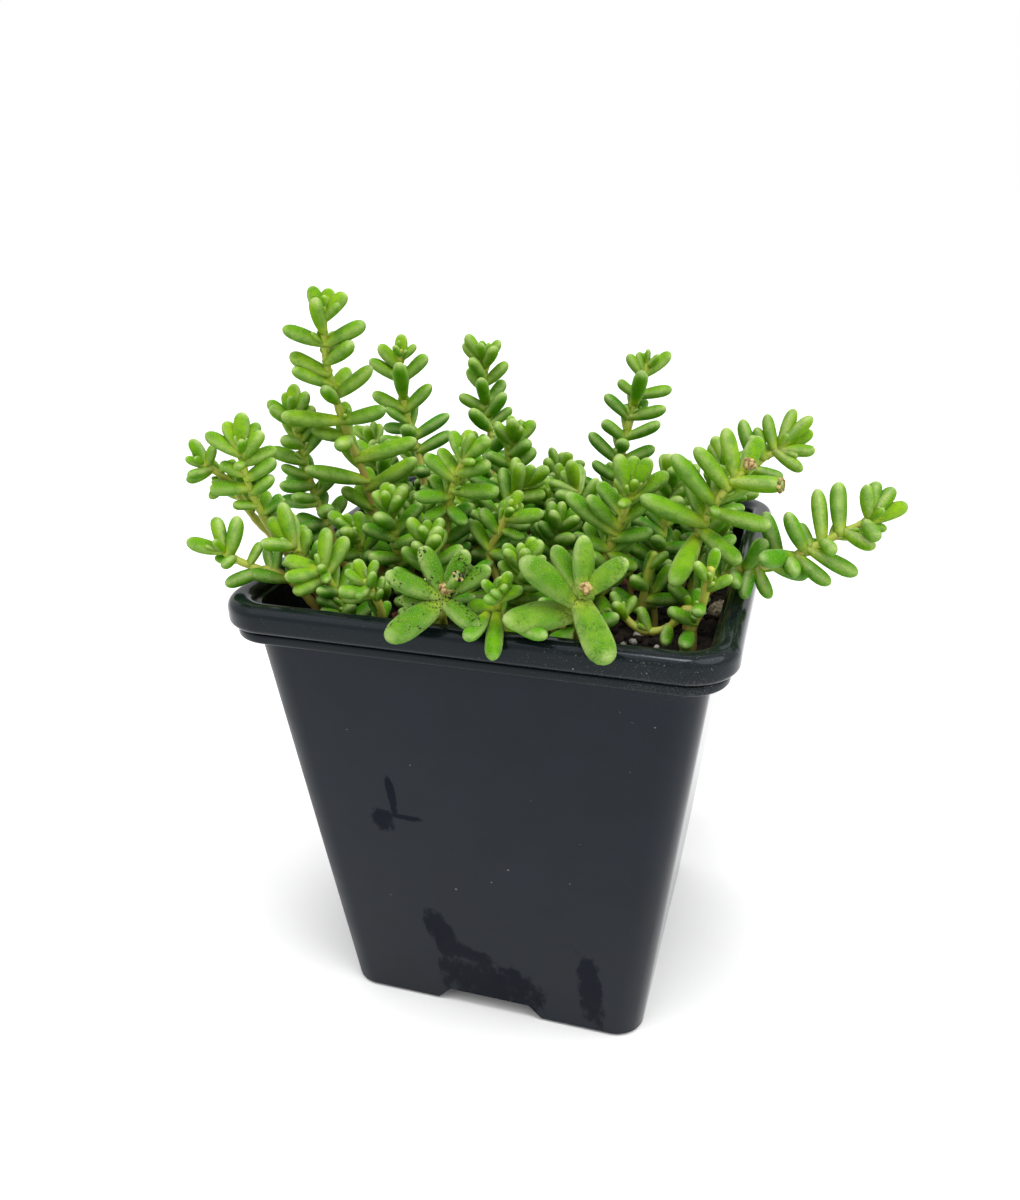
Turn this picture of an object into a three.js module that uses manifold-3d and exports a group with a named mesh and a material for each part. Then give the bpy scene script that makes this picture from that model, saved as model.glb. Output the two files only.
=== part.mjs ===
// Goldmoss stonecrop in a square nursery pot: the pot, the compost in it, and the leafy stems
// that stand in the compost. Millimetres, +Z up, origin in the middle of the pot's base.
// Directions in the tables are [bearing, rise] in degrees: the bearing turns from +X to +Y.
import * as THREE from "three";
import { mergeVertices } from "three/addons/utils/BufferGeometryUtils.js";
import Module from "manifold-3d";

const wasm = await Module();
wasm.setup();

// Pot
const POT_HEIGHT = 71;
const BASE_HALF = 24;
const BODY_HALF = 31.7;
const RIM_HALF = 35;
const RIM_UNDERSIDE = 65.2;
const WALL = 1.1;
const BASE_CORNER = 4.5;
const BODY_CORNER = 5.5;
const RIM_CORNER = 7;
const FLOOR = 1.2;
const CORNER_STEPS = 3;

// Drain channels under the pot: a notch in the middle of each side runs in to the centre pad
const NOTCH_FOOT_HALF = 9;
const NOTCH_ROOF_HALF = 6.5;
const NOTCH_HEIGHT = 2.8;
const CENTRE_PAD_HALF = 8;
const DRAIN_RADIUS = 3;
const DRAIN_FROM_CENTRE = 14;

// Compost
const GAP = 0.3;
const SOIL_LEVEL = 63.4;
const SOIL_MOUND = 1.4;
const SOIL_CRUMB = 0.7;
const SOIL_CELLS = 8;
const HOLE_SIDES = 4;
const HOLE_RADIUS = 1.8;

// Stems and leaves
const STEM_RADIUS = 0.95;
const TIP_RADIUS = 0.7;
const STEM_SIDES = 3;
const STEM_STEP = 5;
const BURIED = 3.5;
const ROOT_RISE = 2.2;
const TOP_LEAF_DEPTH = 0.9;
const LEAF_SIDES = 4;
const LEAF_RINGS = [
  [0.42, 0.92],
  [0.8, 1],
];
const LEAF_FLATNESS = 0.8;
const LEAF_SINK = 0.3;
const LOWEST_LEAN = 80;
const HIGHEST_LEAN = 30;
const GOLDEN_ANGLE = 137.5;
const CLEARANCE = 0.34;
const CROWDING = 0.4;
const TIP_CROWDING = 0.8;
const TIP_SHARE = 0.7;
const FRAME_HINT = new THREE.Vector3(0.2, -0.9, 0.4).normalize();

// Each stem has its root on the compost, the points it passes through, and its leaves. A leaf that
// is listed is [place along the stem, bearing, rise, length]; "rule" gives the rest as [first
// place, how many, longest leaf, width against length, turn of the first leaf].
const STEMS = [
  {
    // tall stem at the left
    root: [-24, -2],
    path: [[-24, -5, 79], [-25.5, -9, 90], [-26, -12, 99.5], [-25, -14, 107.5]],
    leaves: [
      [0.98, 150, 60, 5], [1, 95, 40, 4.2], [0.98, 40, 45, 4.7], [0.94, -90, 65, 5.1],
      [0.9, -170, 20, 6.2], [0.9, 15, 25, 6.5], [0.84, -10, 30, 5.5], [0.8, -165, 25, 6],
      [0.76, -145, 25, 6], [0.72, 5, 35, 7.3], [0.7, -90, 35, 4.5], [0.63, -165, 0, 8.8],
      [0.63, 0, 15, 7.2], [0.56, -160, 15, 5.6], [0.56, -75, 5, 7.3], [0.48, 40, 10, 9.6],
      [0.39, -145, 0, 10.3], [0.36, 5, 30, 9.3], [0.88, 95, 15, 5.2], [0.74, 95, 15, 6.7],
    ],
  },
  {
    // cut stem with long leaves at the front right
    root: [24, -7],
    path: [[26.5, -11.5, 77], [29, -13, 83.5], [33, -13, 89]],
    leaves: [
      [0.95, 155, 72, 6.7], [0.89, -160, 50, 7.1], [0.78, -150, 50, 9.4], [0.93, -20, 5, 6.9],
      [1, 70, 40, 5.5], [0.95, 75, 15, 6.8], [0.74, -15, -5, 8.4], [0.67, -145, 25, 10.4],
      [0.76, -70, 5, 3.4], [0.68, 135, 55, 7.1], [0.63, -30, -25, 7.4], [0.57, -100, -20, 10],
    ],
  },
  {
    // large cut rosette at the front
    root: [14, -27],
    path: [[15.5, -32, 75.5], [16.5, -33, 78]],
    leaves: [
      [0.87, -160, 40, 9.4], [1, 105, 75, 7], [0.98, 150, 45, 7], [1, 15, 40, 6.7],
      [0.76, -147, 0, 9.8], [0.9, -55, -38, 9.8], [0.82, -172, -12, 8.6],
    ],
  },
  {
    // smaller cut rosette at the front left
    root: [-4, -27],
    path: [[-2.5, -32, 73], [-1.5, -33, 76]],
    leaves: [
      [0.98, -155, 25, 7.9], [1, 160, 60, 6.7], [1, 35, 60, 6.4], [1, 35, 25, 6.8],
      [0.95, -18, -14, 7.4], [0.93, -122, -25, 9.9], [0.93, -165, 0, 5.5],
    ],
  },
  {
    // stem that lies over the right rim
    root: [26.5, -11.5],
    path: [[31, -12.5, 73.2], [38, -12, 76], [45, -11, 80], [49.5, -10, 82.5]],
    leaves: [
      [0.71, -160, 50, 6.2], [0.65, -145, 20, 7.9], [0.73, 0, -25, 7.1], [0.63, -75, 0, 5.2],
      [0.67, -15, -35, 5.9], [0.79, 115, 65, 7.1], [0.87, 110, 65, 6.8], [0.79, -70, 5, 4],
      [1, 150, 75, 4.7], [1, 85, 65, 5.1], [1, 40, 50, 5.1], [1, 25, 20, 5.4],
      [0.98, -75, -5, 4.9], [0.6, 140, 60, 6.9], [0.74, 125, 35, 4], [0.48, -100, -50, 4.9],
      [0.89, -30, -15, 4.5], [0.5, -25, -60, 4.6],
    ],
  },
  {
    // back left stem
    root: [-20, 9],
    path: [[-22, 12, 78], [-24.5, 12, 88], [-24.5, 11, 98]],
    leaves: [
      [0.94, 175, 40, 5.1], [0.97, 95, 75, 4.3], [0.88, -175, 30, 6.2], [0.88, 35, 40, 5.7],
      [0.79, -75, 60, 7.2], [0.73, -175, 25, 6.1], [0.73, 35, 40, 6], [0.67, -155, 35, 4.3],
      [0.59, 30, 30, 7.2], [0.52, 30, 25, 6.6], [0.54, -160, 15, 6.2], [0.82, 110, 40, 5.6],
      [0.64, 105, 35, 6.2], [0.6, -80, 25, 6], [0.45, 120, 20, 6.4], [0.42, -70, 15, 6.4],
          ],
  },
  {
    // back right stem
    root: [9, 17],
    path: [[9.5, 19, 75], [11.5, 21, 87], [14, 22, 96]],
    leaves: [
      [0.94, 170, 50, 4.4], [0.95, 135, 65, 3.8], [0.95, 35, 35, 5.6], [0.84, 180, 35, 3.9],
      [0.84, 20, 10, 5.8], [0.8, -60, 60, 6.6], [0.72, 175, 40, 5.7], [0.73, 0, 15, 6],
      [0.61, -155, 40, 5], [0.62, -5, 25, 6.4], [0.49, 180, 40, 7], [0.49, 25, 20, 6.3],
      [0.4, -165, 35, 5], [0.78, 100, 30, 5.2], [0.66, 100, 35, 5.6], [0.54, 110, 30, 5.8],
      [0.56, -80, 25, 5.6], [0.42, -50, 15, 6],
    ],
  },
  {
    // tall stem at the back
    root: [-12, 17],
    path: [[-12.5, 21, 79], [-14.5, 24, 88], [-14.5, 24, 95.5]],
    rule: [0.36, 18, 6.8, 0.25, 10],
  },
  {
    // stem that leans out over the back of the right rim
    root: [22, 13],
    path: [[27.5, 16, 75.5], [32.5, 19, 81], [36.5, 20, 84]],
    leaves: [
      [0.96, 140, 65, 6], [1, 65, 60, 6.5], [1, 25, 45, 6.7], [1, 35, 20, 5.9],
      [0.98, 5, 0, 5.7], [0.96, -10, -30, 5.3], [0.83, 150, 60, 7.5], [0.88, 135, 65, 5.1],
      [0.88, -145, 55, 4.6], [0.79, 0, -15, 5.1], [0.72, 170, 50, 5.2], [0.64, 155, 45, 6.1],
      [0.58, 175, 40, 5.1],
    ],
  },
  {
    // rosette that stands out at the left
    root: [-26, -19],
    path: [[-30, -22, 75], [-32, -24.5, 82], [-32.5, -26, 87.5], [-32.5, -26.5, 91]],
    leaves: [
      [1, 85, 75, 5.1], [1, 160, 55, 4.4], [1, 60, 45, 4.5], [0.98, -175, 30, 5.5],
      [0.96, 20, 50, 4.8], [0.94, 45, 15, 5], [0.94, -70, 5, 3.2], [0.88, -165, 25, 3.7],
      [0.86, 20, 30, 4.8], [0.81, -160, 0, 5.4], [0.78, 0, 35, 4.4], [0.71, -135, 10, 3.4],
      [0.66, 30, 30, 3.8],
    ],
  },
  {
    // pale shoot at the far left
    root: [-27, -14.5],
    path: [[-34.5, -20, 77.5], [-36.5, -23.5, 84.5], [-39, -26, 88]],
    leaves: [
      [1, 165, 55, 4.4], [1, 45, 65, 3], [1, -150, 25, 3], [0.97, -145, -20, 3.8],
      [0.94, 45, 30, 3], [0.89, -120, -45, 3.5], [0.78, 130, 45, 3.8],
    ],
  },
  {
    // stem that leans out over the left rim
    root: [-24.5, -23],
    path: [[-28, -26, 72.6], [-31, -27.5, 73.8], [-33.5, -29, 75.5], [-35.5, -30, 77.5]],
    leaves: [
      [1, 135, 65, 4.7], [0.95, 40, 70, 5.6], [1, -165, 15, 5], [0.91, -80, 5, 3.7],
      [0.69, -145, -20, 5.6], [0.5, -150, 10, 5.7], [0.61, 30, 50, 3.4], [0.8, 60, 50, 3.6],
    ],
  },
  {
    root: [-21, -20],
    path: [[-24, -23, 72.5], [-25.5, -24.5, 75], [-27, -26, 77.5]],
    leaves: [
      [1, 150, 75, 6.2], [1, -170, 30, 5], [1, -120, 20, 5], [0.86, 50, 75, 4],
      [0.93, 140, 35, 6.3], [0.82, -135, 10, 3.7], [0.91, 100, 45, 4.2],
    ],
  },
  {
    root: [-19, -25.5],
    path: [[-20, -26.5, 71], [-21.5, -28, 75.5]],
    leaves: [
      [1, 70, 75, 5.8], [0.93, 65, 45, 6], [1, -140, -5, 5.1], [1, -170, 15, 5.3],
      [0.96, -55, 0, 3.3], [0.9, -135, -18, 5],
    ],
  },
  {
    root: [-14, -27],
    path: [[-12.5, -28.5, 70], [-14, -30, 75]],
    leaves: [
      [1, 170, 65, 3.6], [1, 60, 60, 3.4], [1, -160, 35, 3.4], [0.97, -90, -5, 3.3],
      [0.88, -145, 10, 4.5], [0.8, 40, 65, 3], [0.85, -150, -5, 4],
    ],
  },
  {
    root: [-9.5, -11],
    path: [[-9, -12.5, 76.5], [-6.5, -14.5, 84.5], [-4, -15.5, 89]],
    leaves: [
      [0.99, -25, 70, 3.9], [1, -10, 40, 4.6], [0.97, 145, 55, 4.6], [0.99, 100, 40, 4.7],
      [0.88, -10, 20, 5.4], [0.84, 180, 35, 5.5], [0.87, 150, 40, 4.8], [0.77, 0, 0, 6.8],
      [0.72, -145, 5, 5.3], [0.65, -35, -25, 4.4], [0.65, -130, -20, 4.3], [0.56, 40, 20, 4.2],
      [0.82, 65, 25, 6],
    ],
  },
  { root: [-6, 7], path: [[-6, 8, 78], [-4.5, 8, 86]], rule: [0.3, 16, 6.6, 0.23, 190] },
  { root: [-5.5, -5], path: [[-3.5, -5, 76], [0.5, -3, 82]], rule: [0.42, 12, 6.4, 0.23, 320] },
  {
    root: [-16, -13],
    path: [[-16, -14, 74], [-16.5, -15, 80.5]],
    rule: [0.26, 12, 6.6, 0.23, 80],
  },
  { root: [-9, -18.5], path: [[-9, -19, 77.5]], rule: [0.3, 10, 6.2, 0.23, 20] },
  {
    // pale shoot right of the middle
    root: [13.5, -11],
    path: [[14.5, -12, 74], [17, -13.5, 81], [18.5, -14.5, 85.5]],
    leaves: [
      [0.95, -170, 75, 6.3], [1, 95, 65, 4.9], [1, 35, 60, 5.1], [0.96, 20, 30, 6.2],
      [0.94, -95, 5, 3.5], [0.73, -165, 45, 6.1], [0.68, 180, 35, 8.6], [0.64, -5, 5, 5.7],
      [0.78, 20, 35, 4.6], [0.55, -160, 20, 4.5], [0.52, -15, -20, 4.8], [0.83, 145, 35, 6],
    ],
  },
  { root: [11, 1], path: [[9, 2, 74], [6, 4, 80]], rule: [0.24, 11, 7.2, 0.2, 150] },
  {
    root: [-27, -8],
    path: [[-31, -9, 78], [-32.5, -9.5, 86], [-33.5, -10, 92]],
    rule: [0.4, 14, 6.2, 0.25, 300],
  },
  { root: [27, -19], path: [[29, -20.5, 72], [30, -22, 78]], rule: [0.3, 8, 4.8, 0.24, 45] },
  {
    // shoot between the two rosettes, with leaves that hang over the rim
    root: [4.5, -27.5],
    path: [[5, -32, 73.5], [6, -34, 77]],
    leaves: [
      [0.8, -165, -12, 4.4], [0.96, -150, 50, 3.2], [1, 30, 65, 3.2], [0.94, 15, 20, 3.4],
      [0.98, -85, 30, 3],
    ],
  },
  {
    // runner that dips to the compost and rises again
    root: [27.5, -15.5],
    path: [[27, -18, 70.5], [24.5, -18.6, 67.6], [21, -19, 67], [17.5, -18.5, 69.5]],
    leaves: [
      [0.76, 150, 60, 3.6], [0.62, -65, 5, 4], [0.35, 65, 60, 3.4], [0.98, 155, 55, 3.6],
      [0.98, 65, 35, 3.4],
    ],
  },
  { root: [20, -3], path: [[21, -3, 75], [22, -2, 84]], rule: [0.25, 9, 6.8, 0.22, 110] },
  { root: [26, 4], path: [[27, 6, 76], [28, 8, 84]], rule: [0.3, 10, 6.8, 0.23, 0] },
  {
    // shoot in the middle with a bare stem below its leaves
    root: [0, -13],
    path: [[-2, -13.5, 73.5], [-0.3, -14, 77.5], [1.4, -14.5, 81]],
    leaves: [
      [0.97, 15, 5, 5.3], [0.85, 0, -20, 3.6], [0.8, -170, 55, 4.3], [0.62, -175, 50, 4.8],
      [0.6, 0, -10, 5.2], [0.9, 100, 30, 4.5], [0.5, -100, 0, 4], [1, 45, 55, 3.8],
    ],
  },
  { root: [4, -19], path: [[5, -20.5, 76]], rule: [0.3, 8, 6.2, 0.23, 90] },
  { root: [-22, 3], path: [[-24, 3, 75], [-26, 3, 82]], rule: [0.24, 6, 6.4, 0.22, 240] },
  { root: [-27, 14], path: [[-30, 15, 75], [-33, 16, 82]], rule: [0.26, 5, 6, 0.22, 20] },
  { root: [-14, 6], path: [[-14.5, 5, 75], [-15.5, 4, 80]], rule: [0.24, 6, 6.4, 0.23, 120] },
  { root: [-26, 24], path: [[-28, 26, 73.6], [-31, 28, 78]], rule: [0.24, 5, 5.8, 0.22, 170] },
  { root: [-17, 25], path: [[-18, 26.5, 73], [-19, 28, 78]], rule: [0.24, 5, 5.8, 0.23, 210] },
  { root: [-3, 26], path: [[-3, 27, 72], [-2, 28.5, 76]], rule: [0.24, 5, 5.6, 0.23, 90] },
  { root: [0, 17], path: [[1, 16, 72], [2, 15, 77]], rule: [0.22, 5, 6, 0.22, 260] },
  { root: [8, 26], path: [[8, 27, 71], [8, 28, 74.5]], rule: [0.24, 5, 5.4, 0.24, 15] },
  { root: [18, 24], path: [[19, 25, 71], [20, 26, 75]], rule: [0.24, 5, 5.4, 0.23, 130] },
  { root: [26, 23], path: [[27.5, 25.5, 72], [30, 28, 75.5]], rule: [0.24, 5, 5.4, 0.23, 310] },
  { root: [17, 9], path: [[17.5, 9, 72], [18, 9, 77]], rule: [0.22, 5, 6.2, 0.22, 280] },
  { root: [4, 8], path: [[3, 7, 72], [1, 6, 77]], rule: [0.22, 5, 6, 0.23, 40] },
  { root: [-8, 0], path: [[-9, -0.5, 72], [-10, -1.5, 76.5]], rule: [0.22, 6, 6.2, 0.23, 180] },
  { root: [4, -6], path: [[5, -6, 72], [7, -6, 77]], rule: [0.22, 8, 6.2, 0.22, 75] },
  { root: [20, -13], path: [[20.5, -13, 72], [21.5, -13, 76]], rule: [0.26, 6, 5.6, 0.22, 200] },
  {
    root: [-20.5, -11.5],
    path: [[-21.5, -14, 72], [-22.5, -15.5, 76.5]],
    rule: [0.22, 8, 6.2, 0.23, 330],
  },
];

const POT_COLOUR = 0x30363c;
const SOIL_COLOUR = 0x2a1d16;
const LEAF_COLOURS = [0x5f9a2c, 0x558f28, 0x6ba636, 0x4f8826];

// Turns a closed geometry into a solid
function solidOf(geometry) {
  const bare = geometry.index ? geometry : geometry.clone();
  bare.deleteAttribute("normal");
  bare.deleteAttribute("uv");
  const merged = mergeVertices(bare, 1e-4);
  return new wasm.Manifold(
    new wasm.Mesh({
      numProp: 3,
      vertProperties: new Float32Array(merged.attributes.position.array),
      triVerts: new Uint32Array(merged.index.array),
    }),
  );
}

// Turns a solid back into a named mesh
function meshOf(name, solid, colour, roughness) {
  const data = solid.getMesh();
  const geometry = new THREE.BufferGeometry();
  geometry.setAttribute("position", new THREE.BufferAttribute(data.vertProperties, 3));
  geometry.setIndex(new THREE.BufferAttribute(data.triVerts, 1));
  geometry.computeVertexNormals();
  const material = new THREE.MeshStandardMaterial({ color: colour, roughness, metalness: 0 });
  const mesh = new THREE.Mesh(geometry, material);
  mesh.name = name;
  return mesh;
}

// Closes a row of equal rings, lowest first and turning from +X to +Y, into one surface. A ring
// of a single point makes a pointed end.
function loft(rings) {
  const points = rings.flat();
  const starts = [];
  rings.reduce((start, ring) => {
    starts.push(start);
    return start + ring.length;
  }, 0);
  const index = [];
  for (let level = 0; level + 1 < rings.length; level += 1) {
    const [low, high] = [starts[level], starts[level + 1]];
    const [lowCount, highCount] = [rings[level].length, rings[level + 1].length];
    const count = Math.max(lowCount, highCount);
    for (let i = 0; i < count; i += 1) {
      const next = (i + 1) % count;
      if (lowCount > 1) {
        index.push(low + i, low + next, high + (highCount > 1 ? next : 0));
      }
      if (highCount > 1) {
        index.push(low + (lowCount > 1 ? i : 0), high + next, high + i);
      }
    }
  }
  const last = rings.length - 1;
  for (let i = 1; i + 1 < rings[0].length; i += 1) {
    index.push(starts[0], starts[0] + i + 1, starts[0] + i);
  }
  for (let i = 1; i + 1 < rings[last].length; i += 1) {
    index.push(starts[last], starts[last] + i, starts[last] + i + 1);
  }
  const geometry = new THREE.BufferGeometry().setFromPoints(points);
  geometry.setIndex(index);
  return geometry;
}

// A square with rounded corners, at one height
function squareRing(half, corner, z) {
  const middle = half - corner;
  const ring = [];
  for (let quarter = 0; quarter < 4; quarter += 1) {
    for (let step = 0; step <= CORNER_STEPS; step += 1) {
      const angle = (quarter + step / CORNER_STEPS) * (Math.PI / 2);
      const sideX = quarter === 0 || quarter === 3 ? middle : -middle;
      const sideY = quarter < 2 ? middle : -middle;
      ring.push(
        new THREE.Vector3(sideX + corner * Math.cos(angle), sideY + corner * Math.sin(angle), z),
      );
    }
  }
  return ring;
}

// The pot's side at a height: half its width, and its corner radius, both growing evenly
function bodyAt(z, inset) {
  const share = z / RIM_UNDERSIDE;
  const half = THREE.MathUtils.lerp(BASE_HALF, BODY_HALF, share) - inset;
  const corner = THREE.MathUtils.lerp(BASE_CORNER, BODY_CORNER, share) - inset;
  return squareRing(half, corner, z);
}

// Four copies of a drain channel's section, grown by "grow", from the centre pad out past the side
function channels(grow) {
  const past = BASE_HALF + 2;
  const slope = (NOTCH_FOOT_HALF - NOTCH_ROOF_HALF) / NOTCH_HEIGHT;
  const foot = NOTCH_FOOT_HALF + grow + slope;
  const roof = NOTCH_ROOF_HALF + grow;
  const section = new THREE.Shape([
    new THREE.Vector2(-foot, -1),
    new THREE.Vector2(foot, -1),
    new THREE.Vector2(roof, NOTCH_HEIGHT + grow),
    new THREE.Vector2(-roof, NOTCH_HEIGHT + grow),
  ]);
  const start = CENTRE_PAD_HALF - grow;
  const channel = new THREE.ExtrudeGeometry(section, { depth: past - start, bevelEnabled: false });
  channel.rotateX(Math.PI / 2).translate(0, -start, 0);
  let all = solidOf(channel);
  for (let side = 1; side < 4; side += 1) {
    all = all.add(solidOf(channel.clone().rotateZ((side * Math.PI) / 2)));
  }
  return all;
}

function buildPot() {
  const outside = loft([
    squareRing(BASE_HALF - 0.4, BASE_CORNER - 0.4, 0),
    bodyAt(0.5, 0),
    bodyAt(RIM_UNDERSIDE, 0),
    squareRing(RIM_HALF - 1.6, RIM_CORNER - 1.6, RIM_UNDERSIDE + 0.1),
    squareRing(RIM_HALF - 1.1, RIM_CORNER - 1.1, RIM_UNDERSIDE + 0.5),
    squareRing(RIM_HALF - 1.1, RIM_CORNER - 1.1, RIM_UNDERSIDE + 1.2),
    squareRing(RIM_HALF - 1.5, RIM_CORNER - 1.5, RIM_UNDERSIDE + 1.7),
    squareRing(RIM_HALF - 0.3, RIM_CORNER - 0.3, RIM_UNDERSIDE + 2.1),
    squareRing(RIM_HALF, RIM_CORNER, RIM_UNDERSIDE + 2.8),
    squareRing(RIM_HALF, RIM_CORNER, POT_HEIGHT - 1.4),
    squareRing(RIM_HALF - 0.4, RIM_CORNER - 0.4, POT_HEIGHT - 0.5),
    squareRing(RIM_HALF - 1.3, RIM_CORNER - 1.3, POT_HEIGHT),
  ]);
  const inside = loft([
    bodyAt(FLOOR, WALL),
    bodyAt(RIM_UNDERSIDE, WALL),
    squareRing(BODY_HALF - 0.6, BODY_CORNER - 0.6, POT_HEIGHT - 1.6),
    squareRing(BODY_HALF + 0.1, BODY_CORNER, POT_HEIGHT - 0.5),
    squareRing(BODY_HALF + 1, BODY_CORNER + 0.6, POT_HEIGHT),
    squareRing(BODY_HALF + 1, BODY_CORNER + 0.6, POT_HEIGHT + 1),
  ]);
  let pot = solidOf(outside).subtract(channels(0));
  pot = pot.subtract(solidOf(inside).subtract(channels(WALL)));
  for (let side = 0; side < 4; side += 1) {
    const drain = new THREE.CylinderGeometry(DRAIN_RADIUS, DRAIN_RADIUS, 3 * NOTCH_HEIGHT, 12);
    drain.rotateX(Math.PI / 2).translate(0, -DRAIN_FROM_CENTRE, NOTCH_HEIGHT);
    pot = pot.subtract(solidOf(drain.rotateZ((side * Math.PI) / 2)));
  }
  return meshOf("pot", pot, POT_COLOUR, 0.42);
}

// A repeatable draw from 0 to 1 for two whole numbers and a channel
function draw(a, b, channel) {
  const wave = Math.sin(a * 12.9898 + b * 78.233 + channel * 37.719) * 43758.5453;
  return wave - Math.floor(wave);
}

// The compost's mound at a place, without its crumbs
function moundAt(x, y) {
  const away = Math.min(1, Math.hypot(x, y) / BODY_HALF);
  return SOIL_LEVEL + SOIL_MOUND * (1 - away * away);
}

function rootOf(stem) {
  const [x, y] = stem.root;
  return new THREE.Vector3(x, y, moundAt(x, y));
}

function buildSoil() {
  const width = 2 * RIM_HALF;
  const block = new THREE.BoxGeometry(width, width, POT_HEIGHT, SOIL_CELLS, SOIL_CELLS, 1);
  const place = block.attributes.position;
  for (let i = 0; i < place.count; i += 1) {
    const [x, y] = [place.getX(i), place.getY(i)];
    const crumb = SOIL_CRUMB * (2 * draw(Math.round(x * 4), Math.round(y * 4), 5) - 1);
    place.setZ(i, place.getZ(i) > 0 ? moundAt(x, y) + crumb : 0);
  }
  const fill = loft([bodyAt(FLOOR + GAP, WALL + GAP), bodyAt(RIM_UNDERSIDE, WALL + GAP)]);
  let soil = solidOf(block).intersect(solidOf(fill)).subtract(channels(WALL + GAP));
  for (const stem of STEMS) {
    const root = rootOf(stem);
    const hole = new THREE.CylinderGeometry(HOLE_RADIUS, HOLE_RADIUS, 4 * BURIED, HOLE_SIDES);
    hole.rotateX(Math.PI / 2).translate(root.x, root.y, root.z + BURIED - GAP);
    soil = soil.subtract(solidOf(hole));
  }
  return meshOf("soil", soil, SOIL_COLOUR, 0.95);
}

// The curve a stem follows, from its buried end to its tip
function curveOf(stem) {
  const root = rootOf(stem);
  const points = [
    root.clone().setZ(root.z - BURIED),
    root.clone().setZ(root.z + ROOT_RISE),
    ...stem.path.map(([x, y, z]) => new THREE.Vector3(x, y, z)),
  ];
  const curve = new THREE.CatmullRomCurve3(points, false, "catmullrom", 0.5);
  curve.arcLengthDivisions = 100;
  return curve;
}

// Places along a stem run from 0 at the compost to 1 just under its tip
function along(curve, share) {
  const length = curve.getLength();
  return (BURIED + share * (length - BURIED - TOP_LEAF_DEPTH)) / length;
}

const turned = (degrees) => THREE.MathUtils.degToRad(degrees);

function aimed(bearing, rise) {
  const flat = Math.cos(turned(rise));
  return new THREE.Vector3(
    flat * Math.cos(turned(bearing)),
    flat * Math.sin(turned(bearing)),
    Math.sin(turned(rise)),
  );
}

// A leaf's direction from its lean off the stem and its turn about the stem
function leaning(tangent, lean, turn) {
  const across = tangent.clone().cross(FRAME_HINT).normalize();
  const up = across.clone().cross(tangent);
  return tangent
    .clone()
    .multiplyScalar(Math.cos(turned(lean)))
    .addScaledVector(across, Math.sin(turned(lean)) * Math.cos(turned(turn)))
    .addScaledVector(up, Math.sin(turned(lean)) * Math.sin(turned(turn)));
}

// The leaves that a stem would bear with nothing in their way
function wishedLeaves(stem, curve, number) {
  if (stem.leaves) {
    return stem.leaves.map(([share, bearing, rise, length], i) => ({
      base: curve.getPointAt(along(curve, share)),
      tangent: curve.getTangentAt(along(curve, share)),
      direction: aimed(bearing, rise),
      length,
      halfWidth: length * (0.22 + 0.04 * draw(number, i, 1)),
      crowding: Infinity,
    }));
  }
  const [first, count, longest, width, startTurn] = stem.rule;
  return Array.from({ length: count }, (_, i) => {
    const share = i / (count - 1);
    const place = along(curve, first + (1 - first) * share ** 0.85);
    const tangent = curve.getTangentAt(place);
    const evenLean = THREE.MathUtils.lerp(LOWEST_LEAN, HIGHEST_LEAN, share ** 1.5);
    const lean = evenLean + 12 * (draw(number, i, 2) - 0.5);
    const turn = startTurn + GOLDEN_ANGLE * i + 24 * (draw(number, i, 3) - 0.5);
    const length = longest * (1 - 0.28 * share) * (0.9 + 0.2 * draw(number, i, 4));
    return {
      base: curve.getPointAt(place),
      tangent,
      direction: leaning(tangent, lean, turn),
      length,
      halfWidth: Math.max(1, length * width * 1.1),
      crowding: share > TIP_SHARE ? TIP_CROWDING : CROWDING,
    };
  });
}

// The shortest distance between two straight lines' stretches
function distanceBetween(one, other) {
  const d1 = one.to.clone().sub(one.from);
  const d2 = other.to.clone().sub(other.from);
  const r = one.from.clone().sub(other.from);
  const [a, e, f] = [d1.dot(d1), d2.dot(d2), d2.dot(r)];
  const [b, c] = [d1.dot(d2), d1.dot(r)];
  const scale = a * e - b * b;
  let s = scale > 1e-9 ? THREE.MathUtils.clamp((b * f - c * e) / scale, 0, 1) : 0;
  let t = (b * s + f) / e;
  if (t < 0) {
    t = 0;
    s = THREE.MathUtils.clamp(-c / a, 0, 1);
  } else if (t > 1) {
    t = 1;
    s = THREE.MathUtils.clamp((b - c) / a, 0, 1);
  }
  return r.addScaledVector(d1, s).addScaledVector(d2, -t).length();
}

// A rounded rod that holds a leaf
function rodOf(leaf, owner) {
  const { base, direction, length, halfWidth } = leaf;
  return {
    from: base.clone().addScaledVector(direction, 0.28 * length),
    to: base.clone().addScaledVector(direction, length - 0.8 * halfWidth),
    radius: halfWidth,
    owner,
  };
}

// Rods along a stem, above the compost
function stemRods(curve, owner) {
  const steps = 8;
  const start = along(curve, 0);
  const places = Array.from({ length: steps + 1 }, (_, i) => start + (1 - start) * (i / steps));
  return places.slice(1).map((place, i) => ({
    from: curve.getPointAt(places[i]),
    to: curve.getPointAt(place),
    radius: STEM_RADIUS,
    owner,
  }));
}

// True where a round thing at a point is above the pot, inside it or outside it
function missesPot(point, radius) {
  const out = Math.max(Math.abs(point.x), Math.abs(point.y));
  const room = radius * LEAF_FLATNESS + GAP;
  return (
    point.z - room > POT_HEIGHT || out + room < BODY_HALF - 2 * WALL || out - room > RIM_HALF
  );
}

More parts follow.
